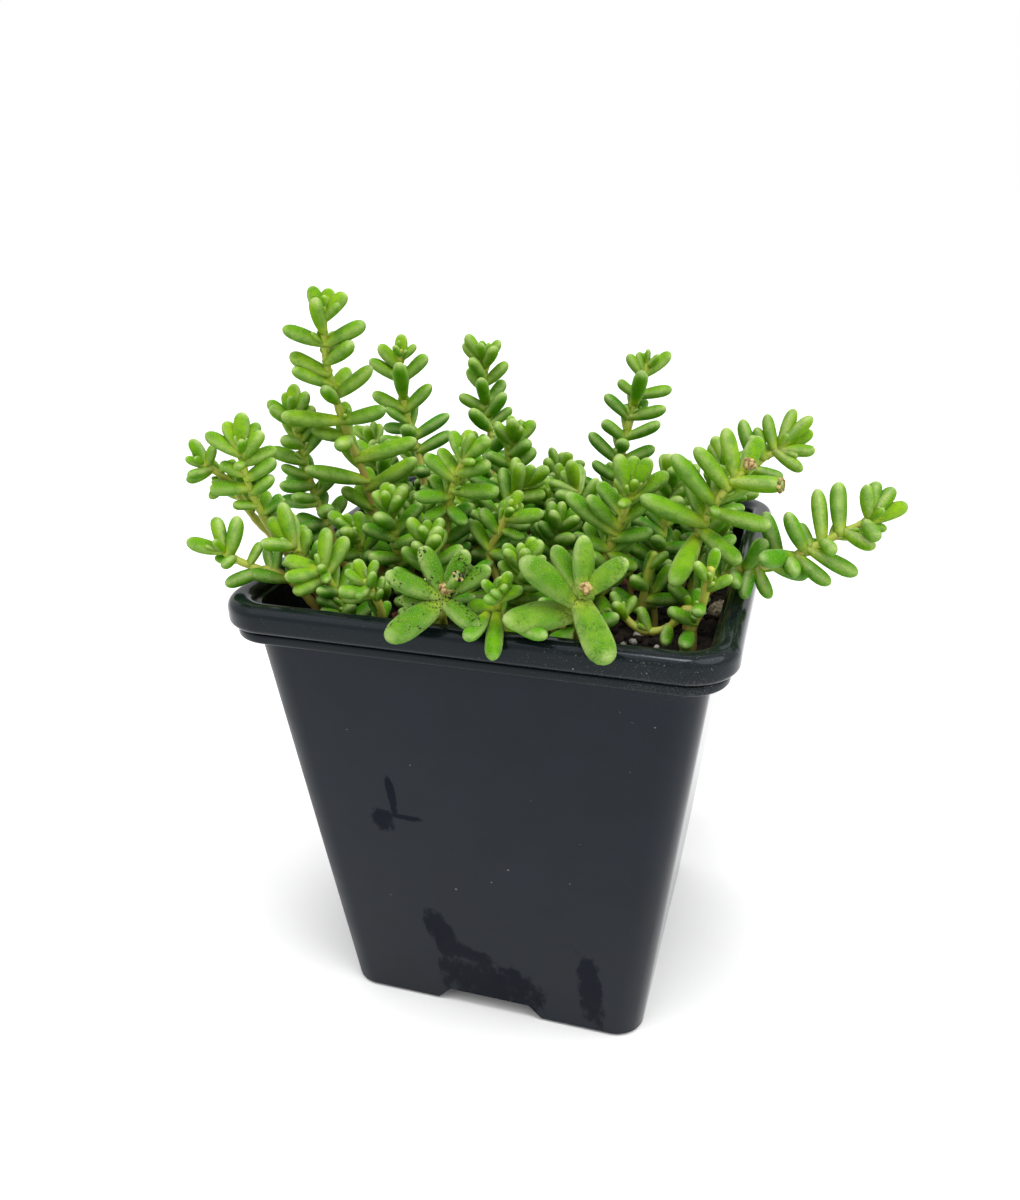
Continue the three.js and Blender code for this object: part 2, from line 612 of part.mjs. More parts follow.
function isClear(rod, rods, crowding) {
  const lowest = Math.min(rod.from.z, rod.to.z) - rod.radius;
  const middle = rod.from.clone().lerp(rod.to, 0.5);
  if (lowest < SOIL_LEVEL + SOIL_MOUND + SOIL_CRUMB) {
    return false;
  }
  if (![rod.from, middle, rod.to].every((point) => missesPot(point, rod.radius))) {
    return false;
  }
  return rods.every((other) => {
    const apart = distanceBetween(rod, other) - rod.radius - other.radius;
    return other.owner === rod.owner ? other.isStem || apart > -crowding : apart > CLEARANCE;
  });
}

// Bends a wished leaf aside, then shortens it, until it clears what stands near it
function settle(wish, rods, owner) {
  for (const shrink of [1, 0.85, 0.7]) {
    for (const nudge of [0, 14, -14, 28, -28, 42, -42]) {
      for (const lift of [0, 0.2, -0.2, 0.45]) {
        const direction = wish.direction
          .clone()
          .applyAxisAngle(wish.tangent, turned(nudge))
          .addScaledVector(wish.tangent, lift)
          .normalize();
        const leaf = {
          ...wish,
          direction,
          length: wish.length * shrink,
          halfWidth: wish.halfWidth * (0.4 + 0.6 * shrink),
        };
        const rod = rodOf(leaf, owner);
        if (isClear(rod, rods, wish.crowding)) {
          return { leaf, rod };
        }
      }
    }
  }
  return null;
}

// Points round a centre, in the plane of two directions
function roundRing(centre, across, up, halfAcross, halfUp, sides) {
  return Array.from({ length: sides }, (_, i) => {
    const angle = (2 * Math.PI * i) / sides;
    return centre
      .clone()
      .addScaledVector(across, halfAcross * Math.cos(angle))
      .addScaledVector(up, halfUp * Math.sin(angle));
  });
}

// A plump leaf: narrow where it leaves the stem, widest past its middle, and blunt
function leafSolid({ base, tangent, direction, length, halfWidth }) {
  const across = tangent.clone().cross(direction).normalize();
  const up = direction.clone().cross(across);
  const rings = LEAF_RINGS.map(([share, width]) =>
    roundRing(
      base.clone().addScaledVector(direction, share * length),
      across,
      up,
      width * halfWidth,
      width * halfWidth * LEAF_FLATNESS,
      LEAF_SIDES,
    ),
  );
  const tip = base.clone().addScaledVector(direction, length);
  const sunk = base.clone().addScaledVector(direction, -LEAF_SINK);
  return solidOf(loft([[sunk], ...rings, [tip]]));
}

function stemSolid(curve) {
  const bends = 3 * curve.points.length - 10;
  const steps = Math.max(3, bends, Math.round(curve.getLength() / STEM_STEP));
  const frames = curve.computeFrenetFrames(steps);
  const rings = frames.tangents.map((_, i) => {
    const share = i / steps;
    const radius = THREE.MathUtils.lerp(STEM_RADIUS, TIP_RADIUS, share);
    const centre = curve.getPointAt(share);
    return roundRing(centre, frames.normals[i], frames.binormals[i], radius, radius, STEM_SIDES);
  });
  return solidOf(loft(rings));
}

function buildStems() {
  const curves = STEMS.map(curveOf);
  const rods = [];
  curves.forEach((curve, owner) => {
    rods.push(...stemRods(curve, owner).map((rod) => ({ ...rod, isStem: true })));
  });
  return STEMS.map((stem, owner) => {
    const solids = [stemSolid(curves[owner])];
    for (const wish of wishedLeaves(stem, curves[owner], owner)) {
      const settled = settle(wish, rods, owner);
      if (settled) {
        rods.push(settled.rod);
        solids.push(leafSolid(settled.leaf));
      }
    }
    const number = String(owner + 1).padStart(2, "0");
    const colour = LEAF_COLOURS[owner % LEAF_COLOURS.length];
    return meshOf(`leafy_stem_${number}`, wasm.Manifold.union(solids), colour, 0.55);
  });
}

const plant = new THREE.Group();
plant.name = "potted_stonecrop";
plant.add(buildPot(), buildSoil(), ...buildStems());

export default plant;
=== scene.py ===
# Looks of the potted stonecrop: fine leaves, stems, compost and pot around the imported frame.
# Lengths below are in millimetres in the part's own frame, and MM turns them into metres.
import math

import bpy
import numpy as np
from mathutils import Matrix, Vector


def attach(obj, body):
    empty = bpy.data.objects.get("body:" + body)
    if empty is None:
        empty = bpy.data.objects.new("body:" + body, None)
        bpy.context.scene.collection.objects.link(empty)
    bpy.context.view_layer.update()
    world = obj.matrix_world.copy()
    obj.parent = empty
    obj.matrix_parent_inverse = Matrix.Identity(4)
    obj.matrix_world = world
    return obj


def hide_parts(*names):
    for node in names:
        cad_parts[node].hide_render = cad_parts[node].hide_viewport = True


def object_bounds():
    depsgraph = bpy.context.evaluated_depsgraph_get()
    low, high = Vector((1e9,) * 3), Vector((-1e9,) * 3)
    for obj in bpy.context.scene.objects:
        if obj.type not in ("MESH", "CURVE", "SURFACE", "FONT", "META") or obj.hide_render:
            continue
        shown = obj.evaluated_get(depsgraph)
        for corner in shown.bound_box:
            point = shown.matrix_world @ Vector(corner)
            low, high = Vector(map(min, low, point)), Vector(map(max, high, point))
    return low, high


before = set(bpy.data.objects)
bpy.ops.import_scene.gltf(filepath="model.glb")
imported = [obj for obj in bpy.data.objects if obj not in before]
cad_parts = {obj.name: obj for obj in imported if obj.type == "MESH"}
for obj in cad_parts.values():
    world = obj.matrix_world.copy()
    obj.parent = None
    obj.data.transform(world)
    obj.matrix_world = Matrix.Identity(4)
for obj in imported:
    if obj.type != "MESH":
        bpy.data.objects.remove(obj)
cad_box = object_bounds()

MM = 0.001

# Pot, with the part's own sizes
POT_HEIGHT = 71
BASE_HALF = 24
BODY_HALF = 31.7
RIM_HALF = 35
RIM_UNDERSIDE = 65.2
WALL = 1.1
BASE_CORNER = 4.5
BODY_CORNER = 5.5
RIM_CORNER = 7
FLOOR = 1.2
NOTCH_FOOT_HALF = 9
NOTCH_ROOF_HALF = 6.5
NOTCH_HEIGHT = 2.8
CENTRE_PAD_HALF = 8
DRAIN_RADIUS = 3
DRAIN_FROM_CENTRE = 14
CORNER_STEPS = 14
SIDE_STEPS = 6
SHARP_EDGE = 34
# The rim's finer outline: radii, insets from the rim's side, and heights over its underside
FOOT_BEVEL = 0.5
BEAD_RADIUS = 0.5
BEAD_INSET = 1.6
BEAD_LOW = 0.7
BEAD_HIGH = 1.25
GROOVE_INSET = 1.5
GROOVE_HEIGHT = 1.95
STEP_RADIUS = 0.9
STEP_HEIGHT = 2.95
LIP_RADIUS = 1.5
INNER_LIP_RADIUS = 1.4
INNER_LIP_OUT = 1.2
INNER_BEND = 0.6

# Compost
GAP = 0.3
SOIL_BOTTOM = 4.6
SOIL_LEVEL = 63.4
SOIL_MOUND = 1.4
SOIL_RINGS = 64
CRUMBS = 1500
CHIPS = 46
GRITS = 16
# Bark, grit and dry lumps that have their own place: across, back and size
PLACED_CHIPS = [(-23, 3.3, 3.2), (-21, 0.5, 2.4), (-10, -23, 2.2)]
PLACED_GRIT = [(27.4, -3.6, 0.7), (19.5, -16, 0.6), (18.4, -17.5, 0.45)]
DRY_LUMPS = [(29.5, -3.1, 1.5), (29.9, -0.6, 1.2), (27, -6.2, 0.9)]
# Where each kind of lump starts in the numbers that its draws run on
CHIP_SEED = 300
GRIT_SEED = 500
DRY_LUMP_SEED = 560
FLECK_SEED = 600
CUT_END_SEED = 700
SCALE_SEED = 720
DRIED_END_SEED = 810
HOLLOW_SHADE_SEED = 830

# Layout of the stems and leaves, by the part's own rule
STEM_RADIUS = 0.95
BURIED = 3.5
ROOT_RISE = 2.2
TOP_LEAF_DEPTH = 0.9
LEAF_FLATNESS = 0.8
LOWEST_LEAN = 80
HIGHEST_LEAN = 30
GOLDEN_ANGLE = 137.5
CLEARANCE = 0.34
CROWDING = 0.4
TIP_CROWDING = 0.8
TIP_SHARE = 0.7
FRAME_HINT = np.array([0.2, -0.9, 0.4]) / np.linalg.norm([0.2, -0.9, 0.4])

# What is finer here than in the part: leaves keep a share of their half width, most of them only
# of what goes past SLENDER
SLENDER = 1.12
SLIMNESS = 0.22
ROSETTE_SLIMNESS = 0.62
PLAIN_SLIMNESS = 0.78
FINE_FLATNESS = 0.95
AXIL_SHARE = 0.14

# Leaves beyond the part's own
EXTRA_CLEARANCE = 0.12
EXTRA_CROWDING = 0.7
EXTRA_FLOOR = SOIL_LEVEL + 1
EXTRA_STEP = 0.8
EXTRA_WIDTH = 0.205
LONGEST_EXTRA = 7.2
LOWEST_EXTRA = 0.12
# A bud's leaves: how many and how long. The stems with listed leaves have a smaller bud.
BUD = (5, 4.8)
SMALL_BUD = (3, 3.4)
BUD_CROWDING = 3
BUD_WIDTH = 0.22

# Sprigs, the young shoots between the stems: the grid they are drawn on, how far they keep from
# other roots and from the pot's sides, and how many there are
SPRIG_STEP = 1.9
SPRIG_KEEP_OUT = 3.1
SPRIG_INSET = 4.2
MOST_SPRIGS = 60
# The shares of its height that a sprig tries, its rod's radius and the gap round that
SPRIG_HEIGHTS = (1, 0.75, 0.55)
SPRIG_ROD = 0.6
SPRIG_GAP = 0.35
LONGEST_ON_SPRIG = 6.4
# Zones without sprigs, where bare stems and compost show: left, right, front and back edge
BARE_ZONES = [(14, 40, -29, -13), (-40, -6, -40, -24), (-4.5, 3, -25, -12)]

# Meshes of stems and leaves
STEM_RADII = (0.66, 0.5)
SPRIG_RADII = (0.5, 0.42)
STEM_SIDES = 12
STEM_RING_STEP = 0.55
LEAF_SIDES = 14
LEAF_SHARES = np.array(
    [-0.05, 0.02, 0.09, 0.18, 0.29, 0.41, 0.53, 0.65, 0.76, 0.855, 0.925, 0.97, 0.993]
)
LEAF_ANGLES = np.arange(LEAF_SIDES) * 2 * math.pi / LEAF_SIDES
# Material slots of a leafy stem
LEAF_SLOT, STEM_SLOT, DRY_SLOT, DARK_SLOT = range(4)
# Growth values of what doesn't grow
BLANK = [0, 0.5, 0.5, 0]

# Each stem has its root on the compost, the points it passes through, and its leaves. A leaf that
# is listed is [place along the stem, bearing, rise, length]; "rule" gives the rest as [first
# place, how many, longest leaf, width against length, turn of the first leaf].
STEMS = [
    {
        # tall stem at the left
        "root": [-24, -2],
        "path": [[-24, -5, 79], [-25.5, -9, 90], [-26, -12, 99.5], [-25, -14, 107.5]],
        "leaves": [
            [0.98, 150, 60, 5], [1, 95, 40, 4.2], [0.98, 40, 45, 4.7], [0.94, -90, 65, 5.1],
            [0.9, -170, 20, 6.2], [0.9, 15, 25, 6.5], [0.84, -10, 30, 5.5], [0.8, -165, 25, 6],
            [0.76, -145, 25, 6], [0.72, 5, 35, 7.3], [0.7, -90, 35, 4.5], [0.63, -165, 0, 8.8],
            [0.63, 0, 15, 7.2], [0.56, -160, 15, 5.6], [0.56, -75, 5, 7.3], [0.48, 40, 10, 9.6],
            [0.39, -145, 0, 10.3], [0.36, 5, 30, 9.3], [0.88, 95, 15, 5.2], [0.74, 95, 15, 6.7],
        ],
    },
    {
        # cut stem with long leaves at the front right
        "root": [24, -7],
        "path": [[26.5, -11.5, 77], [29, -13, 83.5], [33, -13, 89]],
        "leaves": [
            [0.95, 155, 72, 6.7], [0.89, -160, 50, 7.1], [0.78, -150, 50, 9.4], [0.93, -20, 5, 6.9],
            [1, 70, 40, 5.5], [0.95, 75, 15, 6.8], [0.74, -15, -5, 8.4], [0.67, -145, 25, 10.4],
            [0.76, -70, 5, 3.4], [0.68, 135, 55, 7.1], [0.63, -30, -25, 7.4], [0.57, -100, -20, 10],
        ],
    },
    {
        # large cut rosette at the front
        "root": [14, -27],
        "path": [[15.5, -32, 75.5], [16.5, -33, 78]],
        "leaves": [
            [0.87, -160, 40, 9.4], [1, 105, 75, 7], [0.98, 150, 45, 7], [1, 15, 40, 6.7],
            [0.76, -147, 0, 9.8], [0.9, -55, -38, 9.8], [0.82, -172, -12, 8.6],
        ],
    },
    {
        # smaller cut rosette at the front left
        "root": [-4, -27],
        "path": [[-2.5, -32, 73], [-1.5, -33, 76]],
        "leaves": [
            [0.98, -155, 25, 7.9], [1, 160, 60, 6.7], [1, 35, 60, 6.4], [1, 35, 25, 6.8],
            [0.95, -18, -14, 7.4], [0.93, -122, -25, 9.9], [0.93, -165, 0, 5.5],
        ],
    },
    {
        # stem that lies over the right rim
        "root": [26.5, -11.5],
        "path": [[31, -12.5, 73.2], [38, -12, 76], [45, -11, 80], [49.5, -10, 82.5]],
        "leaves": [
            [0.71, -160, 50, 6.2], [0.65, -145, 20, 7.9], [0.73, 0, -25, 7.1], [0.63, -75, 0, 5.2],
            [0.67, -15, -35, 5.9], [0.79, 115, 65, 7.1], [0.87, 110, 65, 6.8], [0.79, -70, 5, 4],
            [1, 150, 75, 4.7], [1, 85, 65, 5.1], [1, 40, 50, 5.1], [1, 25, 20, 5.4],
            [0.98, -75, -5, 4.9], [0.6, 140, 60, 6.9], [0.74, 125, 35, 4], [0.48, -100, -50, 4.9],
            [0.89, -30, -15, 4.5], [0.5, -25, -60, 4.6],
        ],
    },
    {
        # back left stem
        "root": [-20, 9],
        "path": [[-22, 12, 78], [-24.5, 12, 88], [-24.5, 11, 98]],
        "leaves": [
            [0.94, 175, 40, 5.1], [0.97, 95, 75, 4.3], [0.88, -175, 30, 6.2], [0.88, 35, 40, 5.7],
            [0.79, -75, 60, 7.2], [0.73, -175, 25, 6.1], [0.73, 35, 40, 6], [0.67, -155, 35, 4.3],
            [0.59, 30, 30, 7.2], [0.52, 30, 25, 6.6], [0.54, -160, 15, 6.2], [0.82, 110, 40, 5.6],
            [0.64, 105, 35, 6.2], [0.6, -80, 25, 6], [0.45, 120, 20, 6.4], [0.42, -70, 15, 6.4],
        ],
    },
    {
        # back right stem
        "root": [9, 17],
        "path": [[9.5, 19, 75], [11.5, 21, 87], [14, 22, 96]],
        "leaves": [
            [0.94, 170, 50, 4.4], [0.95, 135, 65, 3.8], [0.95, 35, 35, 5.6], [0.84, 180, 35, 3.9],
            [0.84, 20, 10, 5.8], [0.8, -60, 60, 6.6], [0.72, 175, 40, 5.7], [0.73, 0, 15, 6],
            [0.61, -155, 40, 5], [0.62, -5, 25, 6.4], [0.49, 180, 40, 7], [0.49, 25, 20, 6.3],
            [0.4, -165, 35, 5], [0.78, 100, 30, 5.2], [0.66, 100, 35, 5.6], [0.54, 110, 30, 5.8],
            [0.56, -80, 25, 5.6], [0.42, -50, 15, 6],
        ],
    },
    {
        # tall stem at the back
        "root": [-12, 17],
        "path": [[-12.5, 21, 79], [-14.5, 24, 88], [-14.5, 24, 95.5]],
        "rule": [0.36, 18, 6.8, 0.25, 10],
    },
    {
        # stem that leans out over the back of the right rim
        "root": [22, 13],
        "path": [[27.5, 16, 75.5], [32.5, 19, 81], [36.5, 20, 84]],
        "leaves": [
            [0.96, 140, 65, 6], [1, 65, 60, 6.5], [1, 25, 45, 6.7], [1, 35, 20, 5.9],
            [0.98, 5, 0, 5.7], [0.96, -10, -30, 5.3], [0.83, 150, 60, 7.5], [0.88, 135, 65, 5.1],
            [0.88, -145, 55, 4.6], [0.79, 0, -15, 5.1], [0.72, 170, 50, 5.2], [0.64, 155, 45, 6.1],
            [0.58, 175, 40, 5.1],
        ],
    },
    {
        # rosette that stands out at the left
        "root": [-26, -19],
        "path": [[-30, -22, 75], [-32, -24.5, 82], [-32.5, -26, 87.5], [-32.5, -26.5, 91]],
        "leaves": [
            [1, 85, 75, 5.1], [1, 160, 55, 4.4], [1, 60, 45, 4.5], [0.98, -175, 30, 5.5],
            [0.96, 20, 50, 4.8], [0.94, 45, 15, 5], [0.94, -70, 5, 3.2], [0.88, -165, 25, 3.7],
            [0.86, 20, 30, 4.8], [0.81, -160, 0, 5.4], [0.78, 0, 35, 4.4], [0.71, -135, 10, 3.4],
            [0.66, 30, 30, 3.8],
        ],
    },
    {
        # pale shoot at the far left
        "root": [-27, -14.5],
        "path": [[-34.5, -20, 77.5], [-36.5, -23.5, 84.5], [-39, -26, 88]],
        "leaves": [
            [1, 165, 55, 4.4], [1, 45, 65, 3], [1, -150, 25, 3], [0.97, -145, -20, 3.8],
            [0.94, 45, 30, 3], [0.89, -120, -45, 3.5], [0.78, 130, 45, 3.8],
        ],
    },
    {
        # stem that leans out over the left rim
        "root": [-24.5, -23],
        "path": [[-28, -26, 72.6], [-31, -27.5, 73.8], [-33.5, -29, 75.5], [-35.5, -30, 77.5]],
        "leaves": [
            [1, 135, 65, 4.7], [0.95, 40, 70, 5.6], [1, -165, 15, 5], [0.91, -80, 5, 3.7],
            [0.69, -145, -20, 5.6], [0.5, -150, 10, 5.7], [0.61, 30, 50, 3.4], [0.8, 60, 50, 3.6],
        ],
    },
    {
        "root": [-21, -20],
        "path": [[-24, -23, 72.5], [-25.5, -24.5, 75], [-27, -26, 77.5]],
        "leaves": [
            [1, 150, 75, 6.2], [1, -170, 30, 5], [1, -120, 20, 5], [0.86, 50, 75, 4],
            [0.93, 140, 35, 6.3], [0.82, -135, 10, 3.7], [0.91, 100, 45, 4.2],
        ],
    },
    {
        "root": [-19, -25.5],
        "path": [[-20, -26.5, 71], [-21.5, -28, 75.5]],
        "leaves": [
            [1, 70, 75, 5.8], [0.93, 65, 45, 6], [1, -140, -5, 5.1], [1, -170, 15, 5.3],
            [0.96, -55, 0, 3.3], [0.9, -135, -18, 5],
        ],
    },
    {
        "root": [-14, -27],
        "path": [[-12.5, -28.5, 70], [-14, -30, 75]],
        "leaves": [
            [1, 170, 65, 3.6], [1, 60, 60, 3.4], [1, -160, 35, 3.4], [0.97, -90, -5, 3.3],
            [0.88, -145, 10, 4.5], [0.8, 40, 65, 3], [0.85, -150, -5, 4],
        ],
    },
    {
        "root": [-9.5, -11],
        "path": [[-9, -12.5, 76.5], [-6.5, -14.5, 84.5], [-4, -15.5, 89]],
        "leaves": [
            [0.99, -25, 70, 3.9], [1, -10, 40, 4.6], [0.97, 145, 55, 4.6], [0.99, 100, 40, 4.7],
            [0.88, -10, 20, 5.4], [0.84, 180, 35, 5.5], [0.87, 150, 40, 4.8], [0.77, 0, 0, 6.8],
            [0.72, -145, 5, 5.3], [0.65, -35, -25, 4.4], [0.65, -130, -20, 4.3], [0.56, 40, 20, 4.2],
            [0.82, 65, 25, 6],
        ],
    },
    {"root": [-6, 7], "path": [[-6, 8, 78], [-4.5, 8, 86]], "rule": [0.3, 16, 6.6, 0.23, 190]},
    {"root": [-5.5, -5], "path": [[-3.5, -5, 76], [0.5, -3, 82]], "rule": [0.42, 12, 6.4, 0.23, 320]},
    {
        "root": [-16, -13],
        "path": [[-16, -14, 74], [-16.5, -15, 80.5]],
        "rule": [0.26, 12, 6.6, 0.23, 80],
    },
    {"root": [-9, -18.5], "path": [[-9, -19, 77.5]], "rule": [0.3, 10, 6.2, 0.23, 20]},
    {
        # pale shoot right of the middle
        "root": [13.5, -11],
        "path": [[14.5, -12, 74], [17, -13.5, 81], [18.5, -14.5, 85.5]],
        "leaves": [
            [0.95, -170, 75, 6.3], [1, 95, 65, 4.9], [1, 35, 60, 5.1], [0.96, 20, 30, 6.2],
            [0.94, -95, 5, 3.5], [0.73, -165, 45, 6.1], [0.68, 180, 35, 8.6], [0.64, -5, 5, 5.7],
            [0.78, 20, 35, 4.6], [0.55, -160, 20, 4.5], [0.52, -15, -20, 4.8], [0.83, 145, 35, 6],
        ],
    },
    {"root": [11, 1], "path": [[9, 2, 74], [6, 4, 80]], "rule": [0.24, 11, 7.2, 0.2, 150]},
    {
        "root": [-27, -8],
        "path": [[-31, -9, 78], [-32.5, -9.5, 86], [-33.5, -10, 92]],
        "rule": [0.4, 14, 6.2, 0.25, 300],
    },
    {"root": [27, -19], "path": [[29, -20.5, 72], [30, -22, 78]], "rule": [0.3, 8, 4.8, 0.24, 45]},
    {
        # shoot between the two rosettes, with leaves that hang over the rim
        "root": [4.5, -27.5],
        "path": [[5, -32, 73.5], [6, -34, 77]],
        "leaves": [
            [0.8, -165, -12, 4.4], [0.96, -150, 50, 3.2], [1, 30, 65, 3.2], [0.94, 15, 20, 3.4],
            [0.98, -85, 30, 3],
        ],
    },
    {
        # runner that dips to the compost and rises again
        "root": [27.5, -15.5],
        "path": [[27, -18, 70.5], [24.5, -18.6, 67.6], [21, -19, 67], [17.5, -18.5, 69.5]],
        "leaves": [
            [0.76, 150, 60, 3.6], [0.62, -65, 5, 4], [0.35, 65, 60, 3.4], [0.98, 155, 55, 3.6],
            [0.98, 65, 35, 3.4],
        ],
    },
    {"root": [20, -3], "path": [[21, -3, 75], [22, -2, 84]], "rule": [0.25, 9, 6.8, 0.22, 110]},
    {"root": [26, 4], "path": [[27, 6, 76], [28, 8, 84]], "rule": [0.3, 10, 6.8, 0.23, 0]},
    {
        # shoot in the middle with a bare stem below its leaves
        "root": [0, -13],
        "path": [[-2, -13.5, 73.5], [-0.3, -14, 77.5], [1.4, -14.5, 81]],
        "leaves": [
            [0.97, 15, 5, 5.3], [0.85, 0, -20, 3.6], [0.8, -170, 55, 4.3], [0.62, -175, 50, 4.8],
            [0.6, 0, -10, 5.2], [0.9, 100, 30, 4.5], [0.5, -100, 0, 4], [1, 45, 55, 3.8],
        ],
    },
    {"root": [4, -19], "path": [[5, -20.5, 76]], "rule": [0.3, 8, 6.2, 0.23, 90]},
    {"root": [-22, 3], "path": [[-24, 3, 75], [-26, 3, 82]], "rule": [0.24, 6, 6.4, 0.22, 240]},
    {"root": [-27, 14], "path": [[-30, 15, 75], [-33, 16, 82]], "rule": [0.26, 5, 6, 0.22, 20]},
    {"root": [-14, 6], "path": [[-14.5, 5, 75], [-15.5, 4, 80]], "rule": [0.24, 6, 6.4, 0.23, 120]},
    {"root": [-26, 24], "path": [[-28, 26, 73.6], [-31, 28, 78]], "rule": [0.24, 5, 5.8, 0.22, 170]},
    {"root": [-17, 25], "path": [[-18, 26.5, 73], [-19, 28, 78]], "rule": [0.24, 5, 5.8, 0.23, 210]},
    {"root": [-3, 26], "path": [[-3, 27, 72], [-2, 28.5, 76]], "rule": [0.24, 5, 5.6, 0.23, 90]},
    {"root": [0, 17], "path": [[1, 16, 72], [2, 15, 77]], "rule": [0.22, 5, 6, 0.22, 260]},
    {"root": [8, 26], "path": [[8, 27, 71], [8, 28, 74.5]], "rule": [0.24, 5, 5.4, 0.24, 15]},
    {"root": [18, 24], "path": [[19, 25, 71], [20, 26, 75]], "rule": [0.24, 5, 5.4, 0.23, 130]},
    {"root": [26, 23], "path": [[27.5, 25.5, 72], [30, 28, 75.5]], "rule": [0.24, 5, 5.4, 0.23, 310]},
    {"root": [17, 9], "path": [[17.5, 9, 72], [18, 9, 77]], "rule": [0.22, 5, 6.2, 0.22, 280]},
    {"root": [4, 8], "path": [[3, 7, 72], [1, 6, 77]], "rule": [0.22, 5, 6, 0.23, 40]},
    {"root": [-8, 0], "path": [[-9, -0.5, 72], [-10, -1.5, 76.5]], "rule": [0.22, 6, 6.2, 0.23, 180]},
    {"root": [4, -6], "path": [[5, -6, 72], [7, -6, 77]], "rule": [0.22, 8, 6.2, 0.22, 75]},
    {"root": [20, -13], "path": [[20.5, -13, 72], [21.5, -13, 76]], "rule": [0.26, 6, 5.6, 0.22, 200]},
    {
        "root": [-20.5, -11.5],
        "path": [[-21.5, -14, 72], [-22.5, -15.5, 76.5]],
        "rule": [0.22, 8, 6.2, 0.23, 330],
    },
]
# Stems by their place in the list, from 0, some with how dirty or how pale their leaves are
CUT_STEMS = (1, 2, 3)
ROSETTES = (2, 3)
DIRT = {2: 0.35, 3: 1.0}
PALE_STEMS = {0: 0.9, 1: 0.55, 20: 0.4}
RUNNER = 25
# Short stems with no leaves beyond those of the part
PLAIN_STEMS = (23, 44)
# Stems that also bear leaves below those of their list
LEAFY_BELOW = (0, 4, 12, 13, 14, 15, 20)
# Leaves that only the fine plant has, by their stem: place on the stem, leaf base, leaf tip and
# half width. One is a torn stub on the smaller rosette, one hangs over the front rim and two lie
# beside it, below the rosettes.
PLACED_LEAVES = {
    3: [(1, (-1.2, -32.9, 76.2), (0.5, -33.3, 78.3), 1)],
    24: [
        (0.6, (5.2, -33.2, 73.3), (5.9, -37.4, 69.1), 1.15),
        (0.5, (3.9, -33.4, 73.2), (2.9, -38.3, 71.9), 1.15),
        (0.5, (6.8, -33.6, 73.2), (12.5, -36.6, 72.6), 1.2),
    ],
}
# Flecks on the pot's front: place across, height and half size
FLECKS = [
    (4.5, 30.7, 0.24), (1.8, 27.7, 0.16), (-3.9, 25, 0.2), (15.3, 37.9, 0.16), (13.7, 30.2, 0.15),
    (22.1, 51.7, 0.18), (-18.2, 51.9, 0.15), (-9.1, 47.2, 0.16), (22.3, 59.6, 0.2),
    (20.7, 60.9, 0.16), (25.2, 59.3, 0.18), (8.4, 44.2, 0.12), (-14.8, 21.3, 0.14),
]
# A leaf with a dried brown end, by its stem and its place in the stem's list, and the stem whose
# placed leaf has such an end
DRIED_TIP = (1, 3)
TORN_STUB = 3
# Wet patches on the pot's front: middle across, middle height, half width, half height, tilt
WET_PATCHES = [
    (-12.6, 41, 0.6, 3.4, 5),
    (-14.4, 36.2, 1.9, 1.9, 0),
    (-10.4, 37.4, 2.6, 0.5, 0),
    (-7, 14.8, 2, 4.8, 14),
    (-3.2, 11.8, 5, 1.7, -14),
    (0.5, 6, 8.7, 4.4, -6),
    (16.6, 8.6, 1.8, 8.4, 6),
]

# The photograph's camera: the focal length in pixels of its 1200-pixel height, the aim point's
# height and its offset to the side, and the turn and height of the view
FOCAL_PIXELS = 1031.3
LONG_SIDE_PIXELS = 1200
SENSOR = 36
VIEW_AZIMUTH = 15.803
VIEW_ELEVATION = 22.516
VIEW_ROLL = -0.656
VIEW_DISTANCE = 163.25
AIM_HEIGHT = 61.52
AIM_OFFSET = -3.01
FLOOR_REACH = 6000

# Soft lights: turn from the view, height, strength and breadth
LIGHTS = {
    "left": (-60, 58, 0.5, 50),
    "right": (65, 50, 1.65, 50),
    "top": (-10, 78, 1.25, 20),
}


def unit(vector):
    return vector / np.linalg.norm(vector)


def draw(a, b, channel):
    """A repeatable draw from 0 to 1 for two numbers and a channel."""
    wave = math.sin(a * 12.9898 + b * 78.233 + channel * 37.719) * 43758.5453
    return wave - math.floor(wave)


def mound_at(x, y):
    """The compost's height at a place, without its crumbs."""
    away = min(1, math.hypot(x, y) / BODY_HALF)
    return SOIL_LEVEL + SOIL_MOUND * (1 - away * away)


class Curve:
    """A Catmull-Rom curve through the given points, walked by its length."""

    DIVISIONS = 100

    def __init__(self, points):
        self.points = [np.array(p, float) for p in points]
        shares = np.linspace(0, 1, self.DIVISIONS + 1)
        places = np.array([self.at(s) for s in shares])
        steps = np.linalg.norm(np.diff(places, axis=0), axis=1)
        self.lengths = np.concatenate([[0], np.cumsum(steps)])
        self.length = self.lengths[-1]

    def at(self, share):
        points = self.points
        spans = len(points) - 1
        place = share * spans
        i = min(int(math.floor(place)), spans - 1)
        w = place - i
        before = points[i - 1] if i > 0 else 2 * points[0] - points[1]
        after = points[i + 2] if i + 2 < len(points) else 2 * points[-1] - points[-2]
        start, end = points[i], points[i + 1]
        leave, arrive = 0.5 * (end - before), 0.5 * (after - start)
        square = (-3 * start + 3 * end - 2 * leave - arrive) * w * w
        cube = (2 * start - 2 * end + leave + arrive) * w ** 3
        return start + leave * w + square + cube

    def evenly(self, share):
        share = min(1, max(0, share))
        knot = np.interp(share * self.length, self.lengths, np.linspace(0, 1, self.DIVISIONS + 1))
        return self.at(knot)

    def tangent(self, share):
        step = 0.0001
        low, high = max(0, share - step), min(1, share + step)
        return unit(self.evenly(high) - self.evenly(low))


def curve_of(stem):
    """A stem's curve, from its foot in the compost up through its points."""
    x, y = stem["root"]
    ground = mound_at(x, y)
    return Curve([[x, y, ground - BURIED], [x, y, ground + ROOT_RISE], *stem["path"]])


